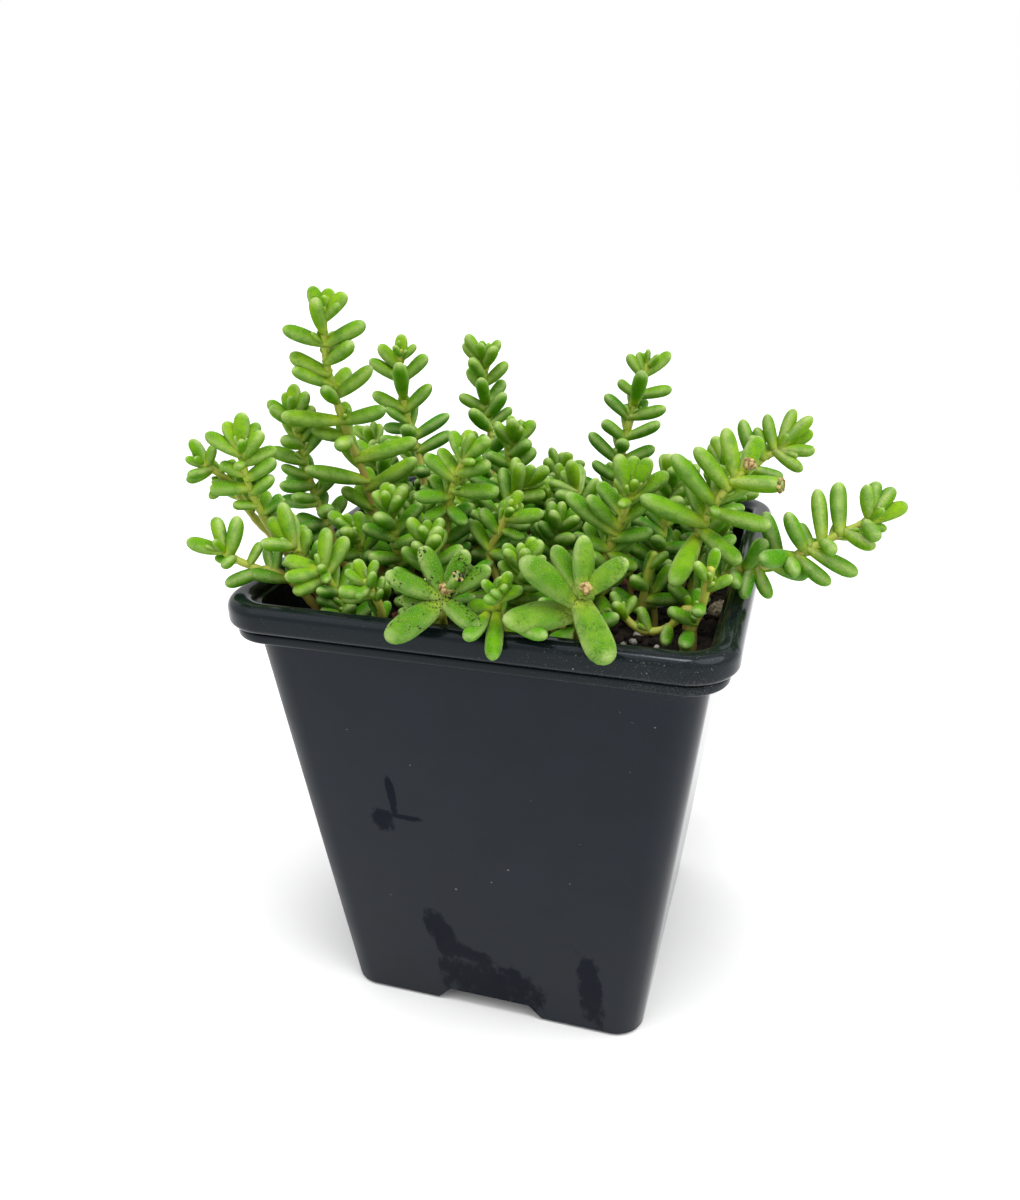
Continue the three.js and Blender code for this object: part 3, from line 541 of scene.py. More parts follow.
def along(curve, share):
    """Places along a stem run from 0 at the compost to 1 just under its tip."""
    return (BURIED + share * (curve.length - BURIED - TOP_LEAF_DEPTH)) / curve.length


def aimed(bearing, rise):
    """The direction at a bearing from +X and a rise from level."""
    b, r = math.radians(bearing), math.radians(rise)
    return np.array([math.cos(r) * math.cos(b), math.cos(r) * math.sin(b), math.sin(r)])


def leaning(tangent, lean, turn):
    """A leaf's direction from its lean off the stem and its turn about the stem."""
    across = unit(np.cross(tangent, FRAME_HINT))
    up = np.cross(across, tangent)
    lean, turn = math.radians(lean), math.radians(turn)
    side = across * math.cos(turn) + up * math.sin(turn)
    return tangent * math.cos(lean) + side * math.sin(lean)


def leaf_of(curve, place, direction, length, half_width, crowding):
    """A leaf that starts from a place on its stem's curve."""
    return {
        "base": curve.evenly(place),
        "tangent": curve.tangent(place),
        "direction": direction,
        "length": length,
        "half_width": half_width,
        "crowding": crowding,
        "place": place,
    }


def wished_leaves(stem, curve, number):
    """The leaves that the part's own rule gives a stem, with nothing in their way."""
    found = []
    for i, (share, bearing, rise, length) in enumerate(stem.get("leaves", [])):
        half_width = length * (0.22 + 0.04 * draw(number, i, 1))
        place, direction = along(curve, share), aimed(bearing, rise)
        found.append(leaf_of(curve, place, direction, length, half_width, math.inf))
    if found:
        return found
    first, count, longest, width, start_turn = stem["rule"]
    for i in range(count):
        share = i / (count - 1)
        place = along(curve, first + (1 - first) * share ** 0.85)
        even_lean = LOWEST_LEAN + (HIGHEST_LEAN - LOWEST_LEAN) * share ** 1.5
        lean = even_lean + 12 * (draw(number, i, 2) - 0.5)
        turn = start_turn + GOLDEN_ANGLE * i + 24 * (draw(number, i, 3) - 0.5)
        length = longest * (1 - 0.28 * share) * (0.9 + 0.2 * draw(number, i, 4))
        direction = leaning(curve.tangent(place), lean, turn)
        crowding = TIP_CROWDING if share > TIP_SHARE else CROWDING
        found.append(leaf_of(curve, place, direction, length, max(1, length * width * 1.1), crowding))
    return found


class Rods:
    """Rounded rods that hold what is placed so far, to keep new leaves clear of it."""

    def __init__(self):
        self.start = np.zeros((0, 3))
        self.end = np.zeros((0, 3))
        self.radius = np.zeros(0)
        self.owner = np.zeros(0, int)
        self.is_stem = np.zeros(0, bool)

    def add(self, start, end, radius, owner, is_stem=False):
        self.start = np.vstack([self.start, start])
        self.end = np.vstack([self.end, end])
        self.radius = np.append(self.radius, radius)
        self.owner = np.append(self.owner, owner)
        self.is_stem = np.append(self.is_stem, is_stem)

    def gaps(self, start, end, radius):
        """The gap between one rod and every rod placed so far."""
        d1 = end - start
        d2 = self.end - self.start
        r = start - self.start
        a = d1 @ d1
        e = np.einsum("ij,ij->i", d2, d2) + 1e-12
        f = np.einsum("ij,ij->i", d2, r)
        b = d2 @ d1
        c = r @ d1
        scale = a * e - b * b
        safe = np.where(scale > 1e-9, scale, 1)
        s = np.where(scale > 1e-9, np.clip((b * f - c * e) / safe, 0, 1), 0)
        t = (b * s + f) / e
        s = np.where(t < 0, np.clip(-c / a, 0, 1), np.where(t > 1, np.clip((b - c) / a, 0, 1), s))
        t = np.clip(t, 0, 1)
        apart = r + s[:, None] * d1 - t[:, None] * d2
        return np.linalg.norm(apart, axis=1) - radius - self.radius


def rod_ends(leaf):
    """The ends of the rod that stands for a leaf while leaves are placed."""
    length, half_width = leaf["length"], leaf["half_width"]
    start = leaf["base"] + leaf["direction"] * 0.28 * length
    end = leaf["base"] + leaf["direction"] * max(0.35 * length, length - 0.8 * half_width)
    return start, end


def misses_pot(point, radius):
    """Whether a leaf is clear of the pot: over it, inside it or past it."""
    out = max(abs(point[0]), abs(point[1]))
    room = radius * LEAF_FLATNESS + GAP
    return point[2] - room > POT_HEIGHT or out + room < BODY_HALF - 2 * WALL or out - room > RIM_HALF


def add_leaf_rod(leaf, rods, owner):
    rods.add(*rod_ends(leaf), leaf["half_width"], owner)


def is_clear(leaf, rods, owner, clearance, floor):
    """Whether a leaf clears the compost, the pot and all rods but its own stem's."""
    start, end = rod_ends(leaf)
    radius = leaf["half_width"]
    if min(start[2], end[2]) - radius < floor:
        return False
    if not all(misses_pot(p, radius) for p in (start, (start + end) / 2, end)):
        return False
    gaps = rods.gaps(start, end, radius)
    own = rods.owner == owner
    allowed = np.where(own, rods.is_stem | (gaps > -leaf["crowding"]), gaps > clearance)
    return bool(allowed.all())


def turned_about(vector, axis, degrees):
    """A vector turned about an axis."""
    angle = math.radians(degrees)
    return (
        vector * math.cos(angle)
        + np.cross(axis, vector) * math.sin(angle)
        + axis * (axis @ vector) * (1 - math.cos(angle))
    )


def settle(wish, rods, owner, clearance=CLEARANCE, floor=SOIL_LEVEL + SOIL_MOUND + 0.7):
    """Bends a wished leaf aside, then shortens it, until it clears what stands near it."""
    for shrink in (1, 0.85, 0.7):
        for nudge in (0, 14, -14, 28, -28, 42, -42):
            for lift in (0, 0.2, -0.2, 0.45):
                bent = turned_about(wish["direction"], wish["tangent"], nudge)
                leaf = {
                    **wish,
                    "direction": unit(bent + wish["tangent"] * lift),
                    "length": wish["length"] * shrink,
                    "half_width": wish["half_width"] * (0.4 + 0.6 * shrink),
                }
                if is_clear(leaf, rods, owner, clearance, floor):
                    add_leaf_rod(leaf, rods, owner)
                    return leaf
    return None


def add_stem_rods(curve, rods, owner):
    start = along(curve, 0)
    places = [curve.evenly(start + (1 - start) * i / 8) for i in range(9)]
    for low, high in zip(places, places[1:]):
        rods.add(low, high, STEM_RADIUS, owner, True)


def facing_away(direction):
    """Whether a leaf points away from the side that the plant is seen from."""
    turn = math.radians(VIEW_AZIMUTH)
    return direction @ np.array([math.sin(turn), -math.cos(turn), 0]) < -0.2


def extra_leaves(curve, rods, owner, longest, first, open_to):
    """Leaves beyond the part's own, where there is room: past open_to only those at the back."""
    count = max(4, int((1 - first) * curve.length / EXTRA_STEP))
    found = []
    for i in range(count):
        share = (i + 0.5) / count
        place = along(curve, first + (1 - first) * share)
        lean = 74 - 40 * share ** 1.5 + 14 * (draw(owner, i, 11) - 0.5)
        turn = 360 * draw(owner, i, 12) + GOLDEN_ANGLE * i
        length = longest * (1 - 0.25 * share) * (0.85 + 0.25 * draw(owner, i, 13))
        direction = leaning(curve.tangent(place), lean, turn)
        if place > open_to and not facing_away(direction):
            continue
        wish = leaf_of(curve, place, direction, length, length * EXTRA_WIDTH, EXTRA_CROWDING)
        leaf = settle(wish, rods, owner, EXTRA_CLEARANCE, EXTRA_FLOOR)
        if leaf and leaf["length"] > 0.8 * length:
            found.append(leaf)
    return found


def leaves_between(stem, curve, rods, owner, own):
    """The extra leaves of one stem, from a little below its own leaves or from its foot."""
    first = min(leaf["place"] for leaf in own)
    longest = max(leaf["length"] for leaf in own)
    start = max(LOWEST_EXTRA, (first * curve.length - BURIED) / (curve.length - BURIED) - 0.1)
    open_to = 1 if "rule" in stem else 0
    if owner in LEAFY_BELOW:
        start, open_to = LOWEST_EXTRA, first
    return extra_leaves(curve, rods, owner, 0.9 * min(longest, LONGEST_EXTRA), start, open_to)


def bud_leaves(curve, rods, owner, count, longest):
    """The tight fan of young leaves at a growing tip."""
    found = []
    for i in range(count):
        share = i / (count - 1)
        place = along(curve, 1 - 0.9 * (1 - share) / curve.length)
        lean = 48 - 34 * share + 8 * (draw(owner, i, 21) - 0.5)
        turn = GOLDEN_ANGLE * i + 360 * draw(owner, 0, 22)
        length = longest * (1 - 0.3 * share) * (0.9 + 0.2 * draw(owner, i, 23))
        direction = leaning(curve.tangent(place), lean, turn)
        wish = leaf_of(curve, place, direction, length, length * BUD_WIDTH, BUD_CROWDING)
        if is_clear(wish, rods, owner, EXTRA_CLEARANCE, EXTRA_FLOOR):
            add_leaf_rod(wish, rods, owner)
            found.append(wish)
    return found


def axil_leaves(leaves, owner):
    """Pairs of tiny bright leaves in the angle between some of the leaves and their stem."""
    found = []
    for i, leaf in enumerate(leaves):
        if draw(owner, i, 24) > AXIL_SHARE:
            continue
        across = unit(np.cross(leaf["tangent"], leaf["direction"]))
        for hand in (-1, 1):
            direction = unit(leaf["tangent"] + 0.75 * leaf["direction"] + 0.45 * hand * across)
            length = 1.7 + 0.6 * draw(owner, i, 25 + hand)
            base = leaf["base"] + 0.35 * unit(leaf["direction"] + hand * across)
            tiny = {**leaf, "base": base, "direction": direction, "length": length}
            found.append({**tiny, "half_width": 0.22 * length, "place": 1})
    return found


def placed_leaves(owner):
    """A stem's leaves that are set one by one, bowed over what lies under them."""
    found = []
    for place, base, tip, half_width in PLACED_LEAVES.get(owner, []):
        base, tip = np.array(base), np.array(tip)
        leaf = {"place": place, "base": base, "tangent": np.array([0.0, 0.0, 1.0])}
        leaf["direction"] = unit(tip - base)
        leaf["length"] = float(np.linalg.norm(tip - base))
        found.append({**leaf, "half_width": half_width, "bow": 0.1, "dried": owner == TORN_STUB})
    return found


def sprig_curve(i, j, x, y, share):
    """A young shoot from its root up to a share of its drawn height."""
    height = share * (7.5 + 5 * draw(i, j, 33))
    drift = share * 4 * (np.array([draw(i, j, 34), draw(i, j, 35)]) - 0.5)
    ground = mound_at(x, y)
    top = [x + drift[0], y + drift[1], ground + height]
    return Curve([[x, y, ground - 1], [x, y, ground + 1.5], top])


def sprig_stems(rods):
    """Short young shoots that fill the mat between the part's stems, wherever there is room."""
    roots = np.array([stem["root"] for stem in STEMS], float)
    reach = int(BODY_HALF // SPRIG_STEP)
    places = [(i, j) for i in range(-reach, reach + 1) for j in range(-reach, reach + 1)]
    found = []
    for i, j in sorted(places, key=lambda place: draw(*place, 30)):
        x = (i + 0.7 * (draw(i, j, 31) - 0.5)) * SPRIG_STEP
        y = (j + 0.7 * (draw(i, j, 32) - 0.5)) * SPRIG_STEP
        outside = max(abs(x), abs(y)) >= BODY_HALF - SPRIG_INSET
        bare = any(a < x < b and c < y < d for a, b, c, d in BARE_ZONES)
        crowded = np.min(np.linalg.norm(roots - [x, y], axis=1)) < SPRIG_KEEP_OUT
        if outside or bare or crowded:
            continue
        for share in SPRIG_HEIGHTS:
            curve = sprig_curve(i, j, x, y, share)
            if (rods.gaps(curve.evenly(0.3), curve.evenly(1), SPRIG_ROD) > SPRIG_GAP).all():
                found.append(curve)
                roots = np.vstack([roots, [x, y]])
                break
    return found[:MOST_SPRIGS]


def grow_leaves(curves, rods):
    """The leaves of every stem: the part's own first, then placed ones, buds and extra ones."""
    grown_leaves = []
    for owner, (stem, curve) in enumerate(zip(STEMS, curves)):
        settled = [settle(wish, rods, owner) for wish in wished_leaves(stem, curve, owner)]
        if owner == DRIED_TIP[0]:
            settled[DRIED_TIP[1]]["dried"] = True
        grown_leaves.append([leaf for leaf in settled if leaf])
    for owner in PLACED_LEAVES:
        for placed in placed_leaves(owner):
            add_leaf_rod(placed, rods, owner)
            grown_leaves[owner].append(placed)
    for owner, (stem, curve) in enumerate(zip(STEMS, curves)):
        if owner not in CUT_STEMS and owner not in PLAIN_STEMS:
            bud = SMALL_BUD if "leaves" in stem else BUD
            grown_leaves[owner] += bud_leaves(curve, rods, owner, *bud)
    for owner, (stem, curve) in enumerate(zip(STEMS, curves)):
        if owner not in (*ROSETTES, *PLAIN_STEMS, RUNNER):
            own = grown_leaves[owner]
            own += leaves_between(stem, curve, rods, owner, own)
    return grown_leaves


def smooth_step(t):
    """Rises from 0 to 1 with soft ends."""
    t = np.clip(t, 0, 1)
    return t * t * (3 - 2 * t)


def leaf_profile(t, neck, belly, bluntness):
    """A leaf's half width against its widest: a clasping neck, a full belly and a blunt end."""
    rise = neck + (1 - neck) * np.sin(np.clip(t / belly, 0, 1) * math.pi / 2) ** 0.9
    cap = np.clip((t - belly) / (1 - belly), 0, 1)
    return np.where(t < belly, rise, np.sqrt(np.clip(1 - cap ** bluntness, 0, 1)))


def bands(rings, sides, first=0):
    """Faces between one ring of points and the next, all numbered on from first."""
    faces = []
    for low in range(first, first + (rings - 1) * sides, sides):
        high = low + sides
        for side in range(sides):
            after = (side + 1) % sides
            faces.append([low + side, low + after, high + after, high + side])
    return faces


def closed_faces(rings, sides):
    """Faces of a closed shape whose points are its rings in turn, its top and its bottom."""
    top = rings * sides
    faces = bands(rings, sides)
    for side in range(sides):
        after = (side + 1) % sides
        faces.append([top - sides + side, top - sides + after, top])
        faces.append([side, top + 1, after])
    return faces


LEAF_FACES = closed_faces(len(LEAF_SHARES), LEAF_SIDES)


def fine_half_width(half_width, number):
    """The half width of a fine leaf, which is slimmer than the part's."""
    if number in PLAIN_STEMS:
        return PLAIN_SLIMNESS * half_width
    share = ROSETTE_SLIMNESS if number in ROSETTES else SLIMNESS
    return min(half_width, SLENDER + share * max(0, half_width - SLENDER))


def leaf_mesh(leaf, number, index):
    """One leaf's points, and for each its share along the leaf and its nearness to the margin."""
    is_rosette = number in ROSETTES
    base, direction, length = leaf["base"], leaf["direction"], leaf["length"]
    across = unit(np.cross(leaf["tangent"], direction))
    up = np.cross(direction, across)
    belly = 0.54 + 0.12 * draw(number, index, 41)
    neck = 0.5 + 0.14 * draw(number, index, 42)
    bluntness = (2.1 if is_rosette else 2.5) + 0.6 * draw(number, index, 46)
    twist = math.radians(16 * (draw(number, index, 43) - 0.5))
    flat = (LEAF_FLATNESS if is_rosette else FINE_FLATNESS) * (0.93 + 0.1 * draw(number, index, 44))
    bow = leaf.get("bow", 0.035 * length * (draw(number, index, 45) - 0.3))
    t = LEAF_SHARES
    half_width = fine_half_width(leaf["half_width"], number)
    width = half_width * leaf_profile(t, neck, belly, bluntness)
    centre = base + np.outer(t * length, direction) + np.outer(bow * (t * t - 0.7 * t), up) * 4
    side = np.cos(LEAF_ANGLES + twist)
    rise = np.sin(LEAF_ANGLES + twist)
    rise = np.where(rise > 0, rise * 0.9, rise) * flat
    rings = centre[:, None, :] + width[:, None, None] * (np.outer(side, across) + np.outer(rise, up))
    tip = base + direction * length + up * bow * 0.3 * 4
    root = base - direction * 0.08 * length
    points = np.vstack([rings.reshape(-1, 3), tip, root])
    shares = np.concatenate([np.repeat(t, LEAF_SIDES), [1, 0]])
    margins = np.concatenate([np.tile(np.abs(side), len(t)), [1, 0]])
    return points, shares, np.maximum(margins ** 7, smooth_step((shares - 0.86) / 0.14))


def tube_mesh(curve, radii):
    """A tube along a curve with slight swellings, and each point's share along it."""
    steps = max(8, int(curve.length / STEM_RING_STEP))
    angles = np.arange(STEM_SIDES) * 2 * math.pi / STEM_SIDES
    side = unit(np.cross(curve.tangent(0), FRAME_HINT))
    rings = []
    for i in range(steps + 1):
        share = i / steps
        tangent = curve.tangent(share)
        side = unit(side - tangent * (side @ tangent))
        swell = 1 + 0.07 * math.sin(i * 2.1) + 0.05 * math.sin(i * 0.83 + 1)
        radius = (radii[0] + (radii[1] - radii[0]) * share) * swell
        spokes = np.outer(np.cos(angles), side) + np.outer(np.sin(angles), np.cross(tangent, side))
        rings.append(curve.evenly(share) + radius * spokes)
    tip = curve.evenly(1) + curve.tangent(1) * radii[1] * 0.5
    points = np.vstack([*rings, tip, curve.evenly(0)])
    shares = np.concatenate([np.repeat(np.arange(steps + 1) / steps, STEM_SIDES), [1, 0]])
    return points, closed_faces(steps + 1, STEM_SIDES), shares


def linked(name, data):
    """A new object in the scene that holds the data."""
    thing = bpy.data.objects.new(name, data)
    bpy.context.scene.collection.objects.link(thing)
    return thing


def shaped(name, points, faces):
    """A new mesh object from points in millimetres."""
    mesh = bpy.data.meshes.new(name)
    mesh.from_pydata((np.array(points) * MM).tolist(), [], faces)
    mesh.update()
    return linked(name, mesh)


class Builder:
    """Collects points and faces, with a material number and four growth values each."""

    def __init__(self):
        self.points = []
        self.faces = []
        self.slots = []
        self.growth = []
        self.count = 0

    def add(self, points, faces, slot, growth=None):
        self.points.append(points)
        self.faces += [[v + self.count for v in face] for face in faces]
        self.slots += [slot] * len(faces)
        self.growth.append(np.tile(BLANK, (len(points), 1)) if growth is None else growth)
        self.count += len(points)

    def piece(self, name, materials, record_slot):
        piece = shaped(name, np.vstack(self.points), self.faces)
        mesh = piece.data
        mesh.polygons.foreach_set("material_index", self.slots)
        mesh.shade_smooth()
        layer = mesh.color_attributes.new("growth", "FLOAT_COLOR", "POINT")
        layer.data.foreach_set("color", np.vstack(self.growth).astype(np.float32).ravel())
        for material in materials:
            mesh.materials.append(material)
        mesh.update()
        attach(piece, "root")
        return piece


def grown(shares, tone, youth, margin=0):
    """The growth values of a mesh: share along it, tone, youth or dirt, and nearness to its edge."""
    columns = np.broadcast_arrays(np.clip(shares, 0, 1), tone, youth, margin)
    return np.stack(columns, axis=1)


def keep_in_box(points, leaf):
    """Draws a leaf's points towards its base until they lie in the part's own box."""
    low = np.array(cad_box[0]) / MM + 0.05
    high = np.array(cad_box[1]) / MM - 0.05
    for _ in range(30):
        if (points >= low).all() and (points <= high).all():
            return points
        points = leaf["base"] + (points - leaf["base"]) * 0.985
    return np.clip(points, low, high)


class Shader:
    """Nodes of a material, wired by short names."""

    def __init__(self, name):
        self.material = bpy.data.materials.new(name)
        self.material.use_nodes = True
        self.tree = self.material.node_tree
        self.tree.nodes.clear()
        self.output = self.tree.nodes.new("ShaderNodeOutputMaterial")
        self.surface = self.tree.nodes.new("ShaderNodeBsdfPrincipled")
        self.link(self.surface.outputs[0], self.output.inputs["Surface"])
        self.place = self.tree.nodes.new("ShaderNodeTexCoord").outputs["Object"]

    def link(self, source, target):
        self.tree.links.new(source, target)

    def put(self, target, value):
        if isinstance(value, bpy.types.NodeSocket):
            self.link(value, target)
        else:
            target.default_value = value

    def set(self, **values):
        """Sets or links inputs of the surface, by their names with _ for spaces."""
        for name, value in values.items():
            self.put(self.surface.inputs[name.replace("_", " ")], value)

    def growth(self):
        """A mesh's growth values: share along it, tone, youth or dirt, and nearness to its edge."""
        node = self.tree.nodes.new("ShaderNodeVertexColor")
        node.layer_name = "growth"
        split = self.tree.nodes.new("ShaderNodeSeparateColor")
        self.link(node.outputs["Color"], split.inputs[0])
        return split.outputs[0], split.outputs[1], split.outputs[2], node.outputs["Alpha"]

    def facing_up(self):
        """How far the surface faces up: 1 on top, 0 upright and -1 below."""
        node = self.tree.nodes.new("ShaderNodeNewGeometry")
        split = self.tree.nodes.new("ShaderNodeSeparateXYZ")
        self.link(node.outputs["Normal"], split.inputs[0])
        return split.outputs[2]

    def noise(self, size_mm, detail=3, roughness=0.55, stretch=None):
        """Noise whose features are about size_mm across."""
        node = self.tree.nodes.new("ShaderNodeTexNoise")
        node.inputs["Scale"].default_value = 1 / (size_mm * MM)
        node.inputs["Detail"].default_value = detail
        node.inputs["Roughness"].default_value = roughness
        place = self.place
        if stretch:
            mapping = self.tree.nodes.new("ShaderNodeMapping")
            mapping.inputs["Scale"].default_value = stretch
            self.link(place, mapping.inputs["Vector"])
            place = mapping.outputs[0]
        self.link(place, node.inputs["Vector"])
        return node.outputs[0]

    def cells(self, size_mm):
        """The distance to the nearest of many scattered points about size_mm apart."""
        node = self.tree.nodes.new("ShaderNodeTexVoronoi")
        node.inputs["Scale"].default_value = 1 / (size_mm * MM)
        self.link(self.place, node.inputs["Vector"])
        return node.outputs["Distance"]

    def math(self, operation, a, b=0.0, clamp=False):
        node = self.tree.nodes.new("ShaderNodeMath")
        node.operation = operation
        node.use_clamp = clamp
        self.put(node.inputs[0], a)
        self.put(node.inputs[1], b)
        return node.outputs[0]

    def times(self, a, b, *more):
        """The product of two or more values."""
        product = self.math("MULTIPLY", a, b)
        return self.times(product, *more) if more else product

    def ramp(self, value, low, high, to_low=0.0, to_high=1.0):
        """Value from low to high becomes to_low to to_high, smoothly and no further."""
        node = self.tree.nodes.new("ShaderNodeMapRange")
        node.interpolation_type = "SMOOTHSTEP"
        for i, number in enumerate((low, high, to_low, to_high)):
            node.inputs[i + 1].default_value = number
        self.put(node.inputs[0], value)
        return node.outputs[0]

    def mix(self, share, a, b):
        """Colour a where share is 0 and b where it is 1."""
        node = self.tree.nodes.new("ShaderNodeMix")
        node.data_type = "RGBA"
        self.put(node.inputs[0], share)
        self.put(node.inputs[6], a if isinstance(a, bpy.types.NodeSocket) else (*a, 1))
        self.put(node.inputs[7], b if isinstance(b, bpy.types.NodeSocket) else (*b, 1))
        return node.outputs[2]

    def mix_value(self, share, a, b):
        """Value a where share is 0 and b where it is 1."""
        return self.math("ADD", a, self.times(share, self.math("SUBTRACT", b, a)))

    def bump(self, height, strength, depth_mm):
        node = self.tree.nodes.new("ShaderNodeBump")
        node.inputs["Strength"].default_value = strength
        node.inputs["Distance"].default_value = depth_mm * MM
        self.link(height, node.inputs["Height"])
        self.set(Normal=node.outputs[0])


def leaf_skin(s, body, base_colour, share, margin):
    """The parts that all leaves share: pale base, a pale edge of painted rim light and sheen,
    mottling and fine pale papillae.

    The edge and the papillae are paler on the upper faces as painted light, and the lower faces
    are deeper green as painted shade.
    """
    upward = s.facing_up()
    colour = s.mix(s.times(s.ramp(share, 0.4, 0.0), 0.8), body, base_colour)
    # Painted shade: the lower faces turn deeper green.
    colour = s.mix(s.ramp(upward, -0.9, 0.35, 0.34, 0), colour, (0.02, 0.165, 0.001))
    # Painted rim light and sheen: a pale edge along the leaf's sides and tip, stronger on the upper
    # faces.
    edge = s.times(margin, s.ramp(upward, -0.5, 0.8, 0.3, 0.85))
    colour = s.mix(edge, colour, (0.37, 0.46, 0.17))
    mottle = s.noise(1.7, 4)
    colour = s.mix(s.ramp(mottle, 0.4, 0.66, 0, 0.4), colour, (0.015, 0.145, 0.001))
    dots = s.ramp(s.cells(0.22), 0.4, 0.14)
    grain = s.ramp(s.noise(0.16, 2, 0.6), 0.28, 0.55)
    # The pale papillae are real, but they are made stronger on the upper faces as painted light.
    papillae_and_top_light = s.times(dots, grain, s.ramp(upward, -0.5, 0.8, 0.09, 0.6))
    colour = s.mix(papillae_and_top_light, colour, (0.46, 0.56, 0.27))
    s.set(
        Roughness=s.ramp(mottle, 0.3, 0.7, 0.42, 0.56),
        Subsurface_Weight=0.3,
        Subsurface_Scale=0.0014,
        Subsurface_Radius=(0.5, 1.0, 0.15),
        Specular_IOR_Level=0.03,
        Sheen_Weight=0.05,
        Sheen_Roughness=0.4,
        Sheen_Tint=(0.55, 0.8, 0.25, 1),
    )
    height = s.math("ADD", s.times(dots, 0.8), s.times(mottle, 0.8))
    return colour, height


def leaf_material():
    """Green leaves, yellower where they are young."""
    s = Shader("stonecrop_leaf")
    share, tone, youth, margin = s.growth()
    middle = s.mix(tone, (0.036, 0.2, 0.001), (0.12, 0.31, 0.003))
    young = s.mix(tone, (0.115, 0.285, 0.002), (0.2, 0.365, 0.008))
    body = s.mix(youth, middle, young)
    colour, height = leaf_skin(s, body, (0.38, 0.5, 0.015), share, margin)
    s.set(Base_Color=colour)
    s.bump(height, 0.9, 0.2)
    return s.material


def soiled_leaf_material():
    """The rosettes' leaves, with compost that sticks to them."""
    s = Shader("soiled_leaf")
    share, tone, dirt_share, margin = s.growth()
    body = s.mix(tone, (0.09, 0.22, 0.006), (0.15, 0.29, 0.02))
    body = s.mix(s.ramp(dirt_share, 0.4, 1, 0, 0.55), body, (0.055, 0.17, 0.004))
    colour, height = leaf_skin(s, body, (0.33, 0.42, 0.04), share, margin)
    crumb = s.ramp(s.noise(0.32, 3), 0.55, 0.62)
    patch = s.ramp(s.noise(2.6, 2), 0.5, 0.6)
    patch = s.math("MAXIMUM", patch, s.ramp(share, 0.4, 0.12))
    dirt = s.math("MULTIPLY", s.times(crumb, patch), dirt_share, True)
    s.set(Base_Color=s.mix(dirt, colour, (0.02, 0.014, 0.009)))
    s.bump(s.math("ADD", height, s.times(dirt, 1.2)), 0.9, 0.2)
    return s.material


def stem_material():
    """Pale brown stems that turn green towards their tips."""
    s = Shader("stonecrop_stem")
    share, tone, _, _ = s.growth()
    low = s.mix(tone, (0.42, 0.27, 0.085), (0.42, 0.38, 0.075))
    high = s.mix(tone, (0.28, 0.39, 0.03), (0.4, 0.44, 0.06))
    colour = s.mix(s.ramp(share, 0.2, 0.8), low, high)
    streak = s.noise(0.8, 4, 0.6, (1, 1, 0.3))
    colour = s.mix(s.ramp(streak, 0.45, 0.7, 0, 0.35), colour, (0.32, 0.13, 0.045))
    s.set(
        Base_Color=colour,
        Roughness=0.5,
        Subsurface_Weight=0.2,
        Subsurface_Scale=0.001,
        Subsurface_Radius=(0.8, 0.7, 0.25),
        Specular_IOR_Level=0.4,
    )
    s.bump(streak, 0.6, 0.08)
    return s.material


def dry_material(name, dark, light):
    """A dry matt material with a fine grain."""
    s = Shader(name)
    grain = s.noise(0.5, 4)
    colour = s.mix(s.ramp(grain, 0.35, 0.62), dark, light)
    s.set(Base_Color=colour, Roughness=0.75, Specular_IOR_Level=0.25)
    s.bump(grain, 0.9, 0.2)
    return s.material


def soil_material():
    """Dark compost, lighter and less matt on its lumps."""
    s = Shader("moist_compost")
    lumps = s.noise(1.3, 6, 0.65)
    fine = s.noise(0.35, 4, 0.7)
    colour = s.mix(s.ramp(lumps, 0.35, 0.7), (0.008, 0.006, 0.005), (0.045, 0.028, 0.018))
    colour = s.mix(s.ramp(fine, 0.62, 0.75, 0, 0.6), colour, (0.11, 0.06, 0.035))
    s.set(Base_Color=colour, Roughness=s.ramp(lumps, 0.3, 0.7, 0.95, 0.6), Specular_IOR_Level=0.3)
    s.bump(s.math("ADD", lumps, s.times(fine, 0.5)), 1.0, 0.5)
    return s.material


def bark_material():
    """Reddish bark with a grain along it."""
    s = Shader("bark_chip")
    grain = s.noise(0.9, 5, 0.6, (0.35, 1, 1))
    colour = s.mix(s.ramp(grain, 0.3, 0.7), (0.06, 0.02, 0.01), (0.3, 0.12, 0.06))
    s.set(Base_Color=colour, Roughness=0.8, Specular_IOR_Level=0.25)
    s.bump(grain, 0.9, 0.3)
    return s.material


def grit_material():
    """Matt grit, from greyish to nearly white."""
    s = Shader("white_grit")
    grain = s.noise(0.6, 4)
    colour = s.mix(s.ramp(grain, 0.35, 0.65), (0.42, 0.38, 0.33), (0.78, 0.76, 0.72))
    s.set(Base_Color=colour, Roughness=0.85, Specular_IOR_Level=0.3)
    s.bump(grain, 0.8, 0.2)
    return s.material


def wet_patches(s, across, up, ripple):
    """How wet the pot's front is: 1 inside any of the patches, with ragged edges."""
    nearest = None
    for x, z, half_x, half_z, tilt in WET_PATCHES:
        cos, sin = math.cos(math.radians(tilt)), math.sin(math.radians(tilt))
        right = s.math("SUBTRACT", across, x * MM)
        high = s.math("SUBTRACT", up, z * MM)
        terms = []
        for half, first, second in ((half_x, cos, sin), (half_z, -sin, cos)):
            turned_right = s.times(right, first / (half * MM))
            turned_high = s.times(high, second / (half * MM))
            away = s.math("ABSOLUTE", s.math("ADD", turned_right, turned_high))
            terms.append(s.math("POWER", away, 2.6))
        reach = s.math("ADD", *terms)
        nearest = reach if nearest is None else s.math("MINIMUM", nearest, reach)
    return s.ramp(s.math("ADD", nearest, ripple), 1.55, 0.6)


def rim_lime(s, corner, up, patch):
    """Lime powder on the low lip of the rim, at the front right corner."""
    grains = s.ramp(s.noise(0.17, 3, 0.8), 0.48, 0.72)
    low_lip = s.times(s.ramp(up, 0.062, 0.0655), s.ramp(up, 0.0692, 0.0672, 0.3, 1))
    return s.times(s.times(grains, s.ramp(patch, 0.1, 0.9, 0.25, 0.8)), s.times(corner, low_lip))


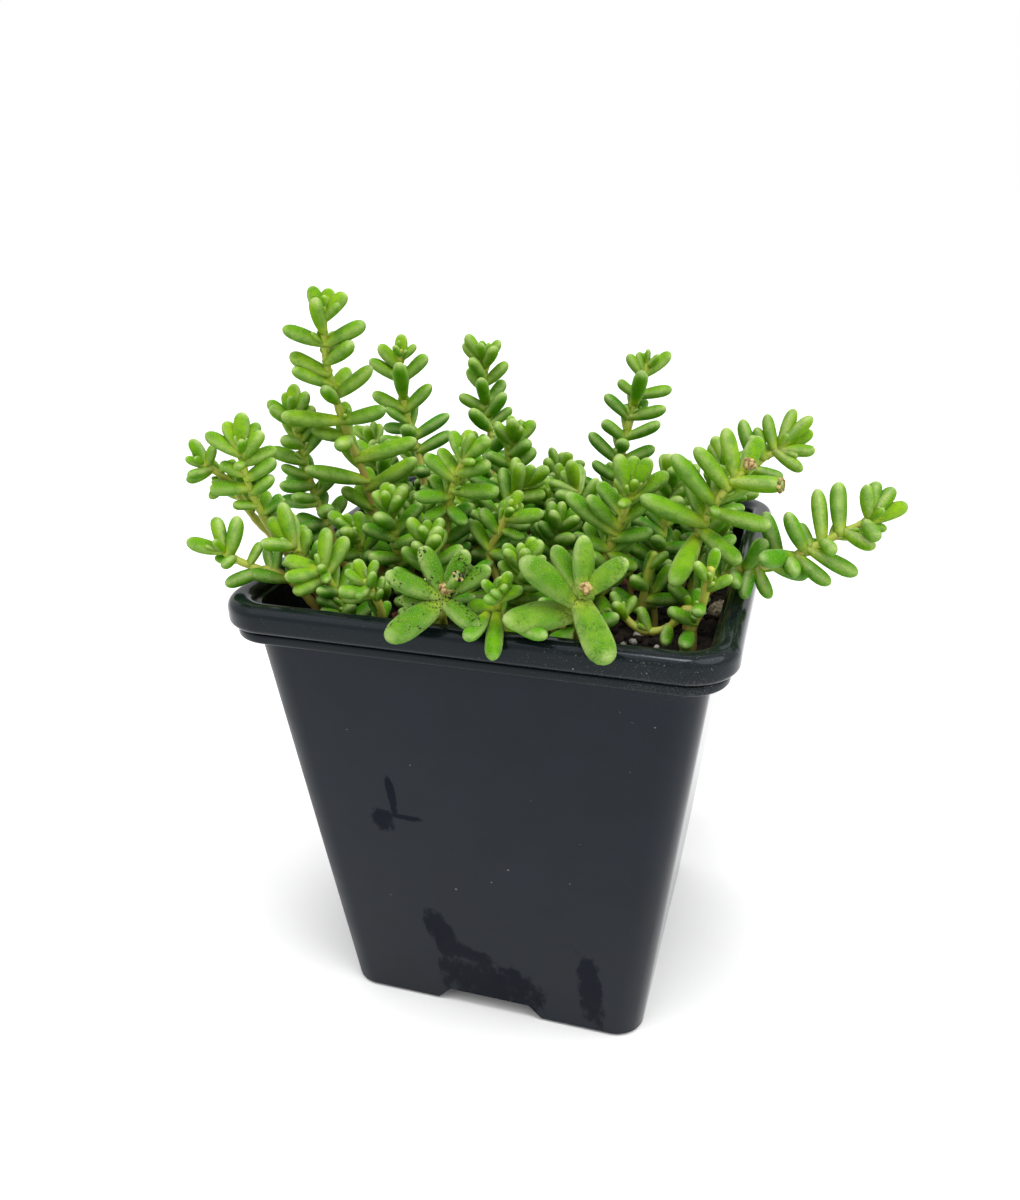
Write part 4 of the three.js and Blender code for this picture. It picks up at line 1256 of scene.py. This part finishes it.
def pot_material():
    """Dark moulded plastic under a thin haze of dust that water has washed off in patches."""
    s = Shader("pot_plastic")
    split = s.tree.nodes.new("ShaderNodeSeparateXYZ")
    s.link(s.place, split.inputs[0])
    across, back, up = split.outputs
    sway = s.noise(9, 3, 0.6)
    ripple = s.ramp(s.noise(2.2, 5, 0.7, (1, 1, 0.6)), 0.3, 0.7, -0.6, 0.9)
    wet = s.times(wet_patches(s, across, up, ripple), s.ramp(back, -0.02, -0.022))
    dust = s.ramp(s.noise(0.3, 4, 0.75), 0.62, 0.78)
    patch = s.ramp(s.noise(14, 3), 0.45, 0.66)
    on_rim = s.ramp(up, 0.064, 0.066)
    corner = s.ramp(s.math("SUBTRACT", across, back), 0.036, 0.056)
    limed = s.times(on_rim, s.math("ADD", s.times(corner, 1.6), 0.35))
    speckle = s.math("MULTIPLY", dust, s.math("ADD", s.times(patch, 0.16), limed), True)
    haze = s.mix(s.ramp(sway, 0.35, 0.65), (0.004, 0.0055, 0.0085), (0.006, 0.008, 0.0125))
    haze = s.mix(on_rim, haze, (0.004, 0.0065, 0.008))
    colour = s.mix(wet, haze, (0.001, 0.0022, 0.0055))
    colour = s.mix(speckle, colour, (0.22, 0.215, 0.2))
    colour = s.mix(rim_lime(s, corner, up, patch), colour, (0.075, 0.078, 0.077))
    rough = s.ramp(sway, 0.35, 0.65, 0.36, 0.46)
    rough = s.math("SUBTRACT", rough, s.times(on_rim, 0.25))
    taper = s.times(up, (BODY_HALF - BASE_HALF) / RIM_UNDERSIDE)
    beside = s.math("SUBTRACT", s.math("ABSOLUTE", across), taper)
    rough = s.mix_value(s.ramp(beside, 0.0226, 0.0236), rough, 0.13)
    tint = s.mix(wet, (0.83, 0.91, 1), (0.07, 0.12, 0.22))
    s.set(Base_Color=colour, Roughness=rough, Specular_IOR_Level=0.2, Specular_Tint=tint)
    grain = s.noise(0.22, 3, 0.6)
    s.bump(s.math("ADD", s.times(grain, 0.35), s.times(dust, 0.3)), 0.22, 0.05)
    return s.material


def floor_material():
    """A nearly white floor with a faint unevenness."""
    s = Shader("pale_floor")
    tint = s.mix(s.ramp(s.noise(40, 3), 0.35, 0.65), (0.78, 0.78, 0.785), (0.8, 0.8, 0.8))
    s.set(Base_Color=tint, Roughness=0.9, Specular_IOR_Level=0.1)
    return s.material


QUARTER_TURNS = [Matrix.Rotation(side * math.pi / 2, 3, "Z") for side in range(4)]


def square_ring(half, corner, z):
    """A square with rounded corners at one height, from the middle of its +X side round."""
    middle = half - corner
    angles = [k / CORNER_STEPS * math.pi / 2 for k in range(CORNER_STEPS + 1)]
    quarter = [(half, middle * k / SIDE_STEPS) for k in range(SIDE_STEPS)]
    quarter += [(middle + corner * math.cos(a), middle + corner * math.sin(a)) for a in angles]
    quarter += [(middle * (1 - k / SIDE_STEPS), half) for k in range(1, SIDE_STEPS)]
    return np.array([turn @ Vector((x, y, z)) for turn in QUARTER_TURNS for x, y in quarter])


def body_at(z, inset):
    """The outline of the pot's sides at a height, moved in by an inset."""
    share = z / RIM_UNDERSIDE
    half = BASE_HALF + (BODY_HALF - BASE_HALF) * share - inset
    corner = BASE_CORNER + (BODY_CORNER - BASE_CORNER) * share - inset
    return square_ring(half, corner, z)


def loft(rings):
    """Points and faces of a closed shape through equal rings, lowest first, with flat ends."""
    count = len(rings[0])
    top = (len(rings) - 1) * count
    floor = list(range(count))[::-1]
    roof = list(range(top, top + count))
    return np.vstack(rings), [floor, *bands(len(rings), count), roof]


def channel_cutters(grow):
    """The drain channels under the pot, from the centre pad out past each side."""
    past = BASE_HALF + 2
    slope = (NOTCH_FOOT_HALF - NOTCH_ROOF_HALF) / NOTCH_HEIGHT
    foot, roof = NOTCH_FOOT_HALF + grow + slope, NOTCH_ROOF_HALF + grow
    section = [(-foot, -1), (foot, -1), (roof, NOTCH_HEIGHT + grow), (-roof, NOTCH_HEIGHT + grow)]
    near = [Vector((x, grow - CENTRE_PAD_HALF, z)) for x, z in section]
    far = [Vector((x, -past, z)) for x, z in section]
    faces = [[3, 2, 1, 0], [4, 5, 6, 7]]
    faces += [[i, (i + 1) % 4, (i + 1) % 4 + 4, i + 4] for i in range(4)]
    return [shaped("channel", [turn @ p for p in near + far], faces) for turn in QUARTER_TURNS]


def drain_cutters():
    """The drain holes through the pot's floor, one in each channel."""
    angles = [k * math.pi / 16 for k in range(32)]
    cutters = []
    for turn in QUARTER_TURNS:
        x, y, _ = turn @ Vector((0, -DRAIN_FROM_CENTRE, 0))
        circle = [(x + DRAIN_RADIUS * math.cos(a), y + DRAIN_RADIUS * math.sin(a)) for a in angles]
        rings = [[(*p, z) for p in circle] for z in (-NOTCH_HEIGHT, 2.5 * NOTCH_HEIGHT)]
        cutters.append(shaped("drain", *loft(rings)))
    return cutters


def cut(thing, cutters):
    """Takes the cutters away from a thing, and removes them."""
    for cutter in cutters:
        modifier = thing.modifiers.new("cut", "BOOLEAN")
        modifier.object = cutter
        modifier.operation = "DIFFERENCE"
        modifier.solver = "EXACT"
    graph = bpy.context.evaluated_depsgraph_get()
    graph.update()
    mesh = bpy.data.meshes.new_from_object(thing.evaluated_get(graph))
    thing.modifiers.clear()
    thing.data = mesh
    for cutter in cutters:
        bpy.data.objects.remove(cutter)


def arc(centre_half, centre_z, radius, start, end, steps):
    """Points of an outline's arc, as pairs of half width and height."""
    angles = [math.radians(start + (end - start) * k / steps) for k in range(steps + 1)]
    return [(centre_half + radius * math.cos(a), centre_z + radius * math.sin(a)) for a in angles]


def rim_corner_at(half):
    """The corner radius at a place on the rim: the bend's centre is the same all the way out."""
    return half - (RIM_HALF - RIM_CORNER)


def rim_outline():
    """Half widths and heights up the rim: a small bead, a step and a rounded lip."""
    under = RIM_UNDERSIDE
    bead = RIM_HALF - BEAD_INSET
    outline = arc(bead, under + BEAD_LOW, BEAD_RADIUS, -90, 0, 4)
    outline += arc(bead, under + BEAD_HIGH, BEAD_RADIUS, 0, 80, 4)
    outline += [(RIM_HALF - GROOVE_INSET, under + GROOVE_HEIGHT)]
    outline += arc(RIM_HALF - STEP_RADIUS, under + STEP_HEIGHT, STEP_RADIUS, -80, 0, 5)
    return outline + arc(RIM_HALF - LIP_RADIUS, POT_HEIGHT - LIP_RADIUS, LIP_RADIUS, 0, 90, 9)


def pot_outside():
    """The pot's rings up its outside."""
    body_heights = (FOOT_BEVEL, 8, 20, 32, 44, 56, 62, RIM_UNDERSIDE - 0.1)
    rings = [square_ring(BASE_HALF - FOOT_BEVEL, BASE_CORNER - FOOT_BEVEL, 0)]
    rings += [body_at(z, 0) for z in body_heights]
    return rings + [square_ring(half, rim_corner_at(half), z) for half, z in rim_outline()]


def pot_inside():
    """The rings up the pot's inside, from its floor to above its rim."""
    rings = [body_at(z, WALL) for z in (FLOOR, 20, 45, 60, RIM_UNDERSIDE)]
    rings += [square_ring(BODY_HALF - INNER_BEND, BODY_CORNER - INNER_BEND, POT_HEIGHT - 1.6)]
    centre, height = BODY_HALF + INNER_LIP_OUT, POT_HEIGHT - INNER_LIP_RADIUS
    bend = arc(centre, height, INNER_LIP_RADIUS, 180, 90, 6)
    bend += [(BODY_HALF + 1.4, POT_HEIGHT + 1)]
    return rings + [square_ring(half, rim_corner_at(half) + INNER_BEND, z) for half, z in bend]


def build_pot(material):
    """The pot: tapered sides, the rim, the hollow, and the channels and holes of its floor."""
    pot = shaped("nursery_pot", *loft(pot_outside()))
    hollow = shaped("pot_inside", *loft(pot_inside()))
    cut(hollow, channel_cutters(WALL))
    cut(pot, channel_cutters(0) + [hollow] + drain_cutters())
    pot.data.shade_smooth()
    pot.data.set_sharp_from_angle(angle=math.radians(SHARP_EDGE))
    pot.data.materials.clear()
    pot.data.materials.append(material)
    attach(pot, "root")
    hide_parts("pot")


def lump(builder, centre, size, seed, slot, rows=4, sides=7, turn=None):
    """A small irregular lump: a rough ball of a few facets, squashed to its size."""
    points = []
    for i in range(1, rows):
        angle = math.pi * i / rows
        for k in range(sides):
            spin = 2 * math.pi * (k + 0.5 * (i % 2)) / sides
            rough = 0.78 + 0.44 * draw(seed, i * sides + k, 51)
            flat = math.sin(angle) * rough
            points.append([flat * math.cos(spin), flat * math.sin(spin), -math.cos(angle) * rough])
    points += [[0, 0, 1], [0, 0, -1]]
    squashed = np.array(points) * size
    if turn is not None:
        squashed = squashed @ np.array(turn).T
    builder.add(squashed + centre, closed_faces(rows - 1, sides), slot)


def soil_height(x, y):
    """The mound with its crumbs, from a few waves and draws on a fine grid."""
    waves = 0.35 * math.sin(0.55 * x + 1.3 * math.sin(0.31 * y)) + 0.3 * math.sin(0.62 * y + 0.8)
    waves += 0.18 * math.sin(1.7 * x + 0.9 * y) + 0.14 * math.sin(2.3 * y - 1.1 * x)
    return mound_at(x, y) + 0.55 * waves - 0.2


def scattered(count, reach, channel):
    """Drawn places on the compost, as pairs across and back."""
    return [[(2 * draw(i, axis, channel) - 1) * reach for axis in (1, 2)] for i in range(count)]


def lay(builder, place, lift, squash, *more):
    """Adds a lump that lies on the compost, its middle lifted by a share of its size."""
    x, y, size = place
    centre = np.array([x, y, soil_height(x, y) + lift * size])
    lump(builder, centre, size * np.array(squash), *more)


def soil_top(edge):
    """The compost's crumbly top inside an edge, with a short skirt below it."""
    points = [[0, 0, soil_height(0, 0)]]
    for ring in range(1, SOIL_RINGS + 1):
        for x, y in edge[:, :2] * ring / SOIL_RINGS:
            rough = 0.4 * (draw(round(x * 3), round(y * 3), 61) - 0.5)
            points.append([x, y, soil_height(x, y) + (rough if ring < SOIL_RINGS else -0.3)])
    points += [[x, y, SOIL_LEVEL - 2.5] for x, y, _ in edge]
    count = len(edge)
    middle = [[0, 1 + i, 1 + (i + 1) % count] for i in range(count)]
    facing_down = bands(SOIL_RINGS + 1, count, 1)
    return np.array(points), middle + [[a, d, c, b] for a, b, c, d in facing_down]


def build_soil(material):
    """Compost: a body that fills the pot, a crumbly top, and loose crumbs on it."""
    builder = Builder()
    levels = (SOIL_BOTTOM, 30, SOIL_LEVEL - 2)
    builder.add(*loft([body_at(z, WALL + GAP) for z in levels]), 0)
    builder.add(*soil_top(body_at(SOIL_LEVEL, WALL + GAP)), 0)
    for i, (x, y) in enumerate(scattered(CRUMBS, BODY_HALF - 2.6, 62)):
        size = 0.25 + 0.75 * draw(i, 3, 62) ** 2.5
        squash = (1, 0.75 + 0.4 * draw(i, 4, 62), 0.6 + 0.3 * draw(i, 5, 62))
        lay(builder, (x, y, size), 0.35, squash, i, 0)
    piece = builder.piece("compost", [material], "compost")
    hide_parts("soil")


def build_chips(material):
    """Thin flakes of bark that lie on the compost, one of them by the left stems."""
    builder = Builder()
    drawn = scattered(CHIPS, BODY_HALF - 4.5, 71)
    placed = PLACED_CHIPS + [(x, y, 0.8 + 1.6 * draw(i, 3, 71)) for i, (x, y) in enumerate(drawn)]
    for i, place in enumerate(placed):
        turn = Matrix.Rotation(6.28 * draw(i, 4, 71), 3, "Z")
        turn = turn @ Matrix.Rotation(0.9 * (draw(i, 5, 71) - 0.5), 3, "X")
        squash = (1, 0.45 + 0.25 * draw(i, 6, 71), 0.22)
        lay(builder, place, 0.3, squash, CHIP_SEED + i, 0, 5, 9, turn)
    builder.piece("bark_chips", [material], "compost")


def build_grit(material, dry):
    """White grit on the compost, and the dry lumps that lie by the right side."""
    builder = Builder()
    drawn = scattered(GRITS, BODY_HALF - 4, 81)
    placed = PLACED_GRIT + [(x, y, 0.35 + 0.5 * draw(i, 3, 81)) for i, (x, y) in enumerate(drawn)]
    for i, place in enumerate(placed):
        lay(builder, place, 0.5, (1, 0.85, 0.75), GRIT_SEED + i, 0, 5, 9)
    for i, place in enumerate(DRY_LUMPS):
        lay(builder, place, 0.6, (1, 0.8, 0.75), DRY_LUMP_SEED + i, 1, 6, 11)
    builder.piece("white_grit", [material, dry], "compost")


def add_leaves(builder, leaves, number, dirt=None, least_youth=0.0):
    """Adds leaves' meshes: young ones by their place on the stem, or soiled ones by their dirt."""
    for index, leaf in enumerate(leaves):
        points, shares, margins = leaf_mesh(leaf, number, index)
        youth = max(least_youth, smooth_step(np.array((leaf["place"] - 0.55) / 0.45)).item())
        growth = grown(shares, draw(number, index, 91), youth if dirt is None else dirt, margins)
        builder.add(keep_in_box(points, leaf), LEAF_FACES, LEAF_SLOT, growth)


def add_stem(builder, curve, radii, number):
    """Adds the mesh of a stem or a young shoot."""
    points, faces, shares = tube_mesh(curve, radii)
    builder.add(points, faces, STEM_SLOT, grown(shares, draw(number, 0, 92), 0))


def add_specks(builder, leaves, number, chance):
    """Tiny crumbs of compost on the upper faces of leaves, most of them near the stem."""
    rings = len(LEAF_SHARES)
    for index, leaf in enumerate(leaves):
        points, _, _ = leaf_mesh(leaf, number, index)
        dirtiness = 2.2 * draw(number, index, 96) ** 2
        for ring in range(1, rings - 1):
            key = 100 * index + ring
            nearness = 0.15 + 2 * (1 - ring / rings) ** 1.6
            for side in range(1, LEAF_SIDES // 2):
                if draw(key, side, 97) > chance * dirtiness * nearness:
                    continue
                size = (0.06 + 0.14 * draw(key, side, 98) ** 2) * np.array([1, 0.8, 0.7])
                lump(builder, points[ring * LEAF_SIDES + side], size, key, DARK_SLOT, 3, 5)


def cut_end(builder, curve, number):
    """The dry brown stub that a cut stem ends in, with shrivelled scales round it."""
    tip = curve.evenly(1)
    tangent = curve.tangent(1)
    stub = np.array([0.85, 0.8, 0.8])
    lump(builder, tip + tangent * 0.1, stub, CUT_END_SEED + number, DRY_SLOT, 6, 11)
    for i in range(5):
        side = leaning(tangent, 50, 72 * i + 30 * draw(number, i, 95))
        centre = tip + side * 0.85 - tangent * 0.1
        scale = np.array([0.36, 0.42, 0.34]) * (0.8 + 0.5 * draw(number, i, 96))
        lump(builder, centre, scale, SCALE_SEED + 7 * number + i, DRY_SLOT)


def dried_end(builder, leaf, number):
    """A leaf's shrivelled brown end: a ring of dry and dark lumps, and a dark lump in the middle as
    painted shade of a hollow.
    """
    direction = leaf["direction"]
    width = fine_half_width(leaf["half_width"], number)
    across = unit(np.cross(leaf["tangent"], direction))
    up = np.cross(direction, across)
    centre = leaf["base"] + direction * (leaf["length"] - 0.36 * width)
    for i in range(9):
        angle = 2 * math.pi * i / 9
        out = across * math.cos(angle) + up * math.sin(angle)
        size = 0.26 * width * (0.8 + 0.4 * draw(i, 1, 99))
        slot = DRY_SLOT if i % 2 else DARK_SLOT
        lump(builder, centre + out * 0.6 * width, size, DRIED_END_SEED + i, slot)
    # Painted shade: a dark lump in the middle stands for the shaded hollow of the shrivelled end.
    lump(builder, centre, 0.42 * width, HOLLOW_SHADE_SEED, DARK_SLOT, 4, 9)


def build_flecks(material):
    """Flecks of lime and grit that stick to the pot's front face."""
    builder = Builder()
    for i, (x, z, size) in enumerate(FLECKS):
        y = -(BASE_HALF + (BODY_HALF - BASE_HALF) * z / RIM_UNDERSIDE)
        squash = size * np.array([1, 0.5, 0.8])
        lump(builder, np.array([x, y - 0.1 * size, z]), squash, FLECK_SEED + i, 0)
    builder.piece("pot_flecks", [material], "pot_plastic")


def build_stem(owner, curve, own, skins):
    """One leafy stem with all that grows and lies on it, in place of its node."""
    builder = Builder()
    add_stem(builder, curve, STEM_RADII, owner)
    dirt = DIRT.get(owner)
    add_leaves(builder, own, owner, dirt, PALE_STEMS.get(owner, 0))
    if owner not in ROSETTES:
        add_leaves(builder, axil_leaves(own, owner), 60 + owner, None, 1)
    if dirt:
        add_specks(builder, own, owner, 0.2 * dirt)
    if owner in CUT_STEMS:
        cut_end(builder, curve, owner)
    for leaf in own:
        if leaf.get("dried"):
            dried_end(builder, leaf, owner)
    name = f"leafy_stem_{owner + 1:02d}"
    piece = builder.piece("fine_" + name, skins, "leaf_green")
    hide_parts(name)


def build_young_shoots(rods, skins):
    """The shoots between the stems, joined to one piece in the front half and one in the back."""
    shoots = list(enumerate(sprig_stems(rods), len(STEMS)))
    for owner, curve in shoots:
        rods.add(curve.evenly(0.1), curve.evenly(1), SPRIG_ROD, owner, True)
    front, back = Builder(), Builder()
    for owner, curve in shoots:
        builder = front if curve.points[0][1] < 0 else back
        leaves = bud_leaves(curve, rods, owner, *BUD)
        leaves += extra_leaves(curve, rods, owner, LONGEST_ON_SPRIG, 0.15, 1)
        add_stem(builder, curve, SPRIG_RADII, owner)
        add_leaves(builder, leaves, owner, None, 0.2)
    front.piece("young_shoots_front", skins, "leaf_green")
    back.piece("young_shoots_back", skins, "leaf_green")


def build_plant(compost):
    """All leafy stems, and the young shoots between them."""
    leaf, soiled, stem_skin = leaf_material(), soiled_leaf_material(), stem_material()
    dry = dry_material("dried_tip", (0.16, 0.09, 0.03), (0.5, 0.38, 0.16))
    withered = dry_material("withered_leaf_end", (0.05, 0.045, 0.008), (0.24, 0.25, 0.05))
    curves = [curve_of(stem) for stem in STEMS]
    rods = Rods()
    for owner, curve in enumerate(curves):
        add_stem_rods(curve, rods, owner)
    for owner, own in enumerate(grow_leaves(curves, rods)):
        leaf_skins = soiled if owner in ROSETTES else leaf
        dark = withered if owner == DRIED_TIP[0] else compost
        build_stem(owner, curves[owner], own, [leaf_skins, stem_skin, dry, dark])
    build_young_shoots(rods, [leaf, stem_skin])


def build_stage():
    """A wide pale floor under the pot."""
    corners = [(x * FLOOR_REACH, y * FLOOR_REACH, 0) for x, y in ((-1, -1), (1, -1), (1, 1), (-1, 1))]
    floor = shaped("pale_floor", corners, [[0, 1, 2, 3]])
    floor.data.materials.append(floor_material())


def towards(azimuth, elevation):
    """The direction of a viewer or a light from the plant, by its turn from the front and height."""
    a, e = math.radians(azimuth), math.radians(elevation)
    return Vector((math.sin(a) * math.cos(e), -math.cos(a) * math.cos(e), math.sin(e)))


def add_light(name, turn, elevation, strength, breadth):
    """A soft light, the same everywhere, from a direction about the view's own."""
    data = bpy.data.lights.new(name, "SUN")
    data.energy = strength
    data.angle = math.radians(breadth)
    light = linked(name, data)
    light.location = towards(VIEW_AZIMUTH + turn, elevation)
    light.rotation_euler = light.location.to_track_quat("Z", "Y").to_euler()


def build_light():
    """An even white surround and the soft lights."""
    world = bpy.data.worlds.new("soft_room")
    world.use_nodes = True
    background = world.node_tree.nodes["Background"]
    background.inputs[0].default_value = (1, 1, 1, 1)
    background.inputs[1].default_value = 1.0
    bpy.context.scene.world = world
    for name, values in LIGHTS.items():
        add_light(name, *values)
    bpy.context.scene.view_settings.view_transform = "Standard"


def build_camera():
    """The photograph's camera, which looks a little past the pot's middle and is slightly tilted."""
    middle = Vector((0, 0, AIM_HEIGHT))
    aim = middle + towards(VIEW_AZIMUTH + 90, 0) * AIM_OFFSET
    place = middle + towards(VIEW_AZIMUTH, VIEW_ELEVATION) * VIEW_DISTANCE
    forward = (aim - place).normalized()
    side = forward.cross(Vector((0, 0, 1))).normalized()
    up = side.cross(forward)
    roll = math.radians(VIEW_ROLL)
    rolled_side = side * math.cos(roll) + up * math.sin(roll)
    rolled_up = up * math.cos(roll) - side * math.sin(roll)
    data = bpy.data.cameras.new("camera")
    data.sensor_width = SENSOR
    data.lens = FOCAL_PIXELS / LONG_SIDE_PIXELS * SENSOR
    data.clip_start = 0.01
    data.clip_end = 20
    camera = linked("camera", data)
    axes = Matrix((rolled_side, rolled_up, -forward)).transposed().to_4x4()
    camera.matrix_world = Matrix.Translation(place * MM) @ axes
    bpy.context.scene.camera = camera


build_camera()
build_stage()
build_light()
build_pot(pot_material())
compost_skin = soil_material()
build_soil(compost_skin)
build_chips(bark_material())
build_grit(grit_material(), dry_material("dry_lump", (0.13, 0.08, 0.04), (0.42, 0.36, 0.25)))
build_flecks(dry_material("lime_fleck", (0.035, 0.034, 0.032), (0.13, 0.125, 0.115)))
build_plant(compost_skin)
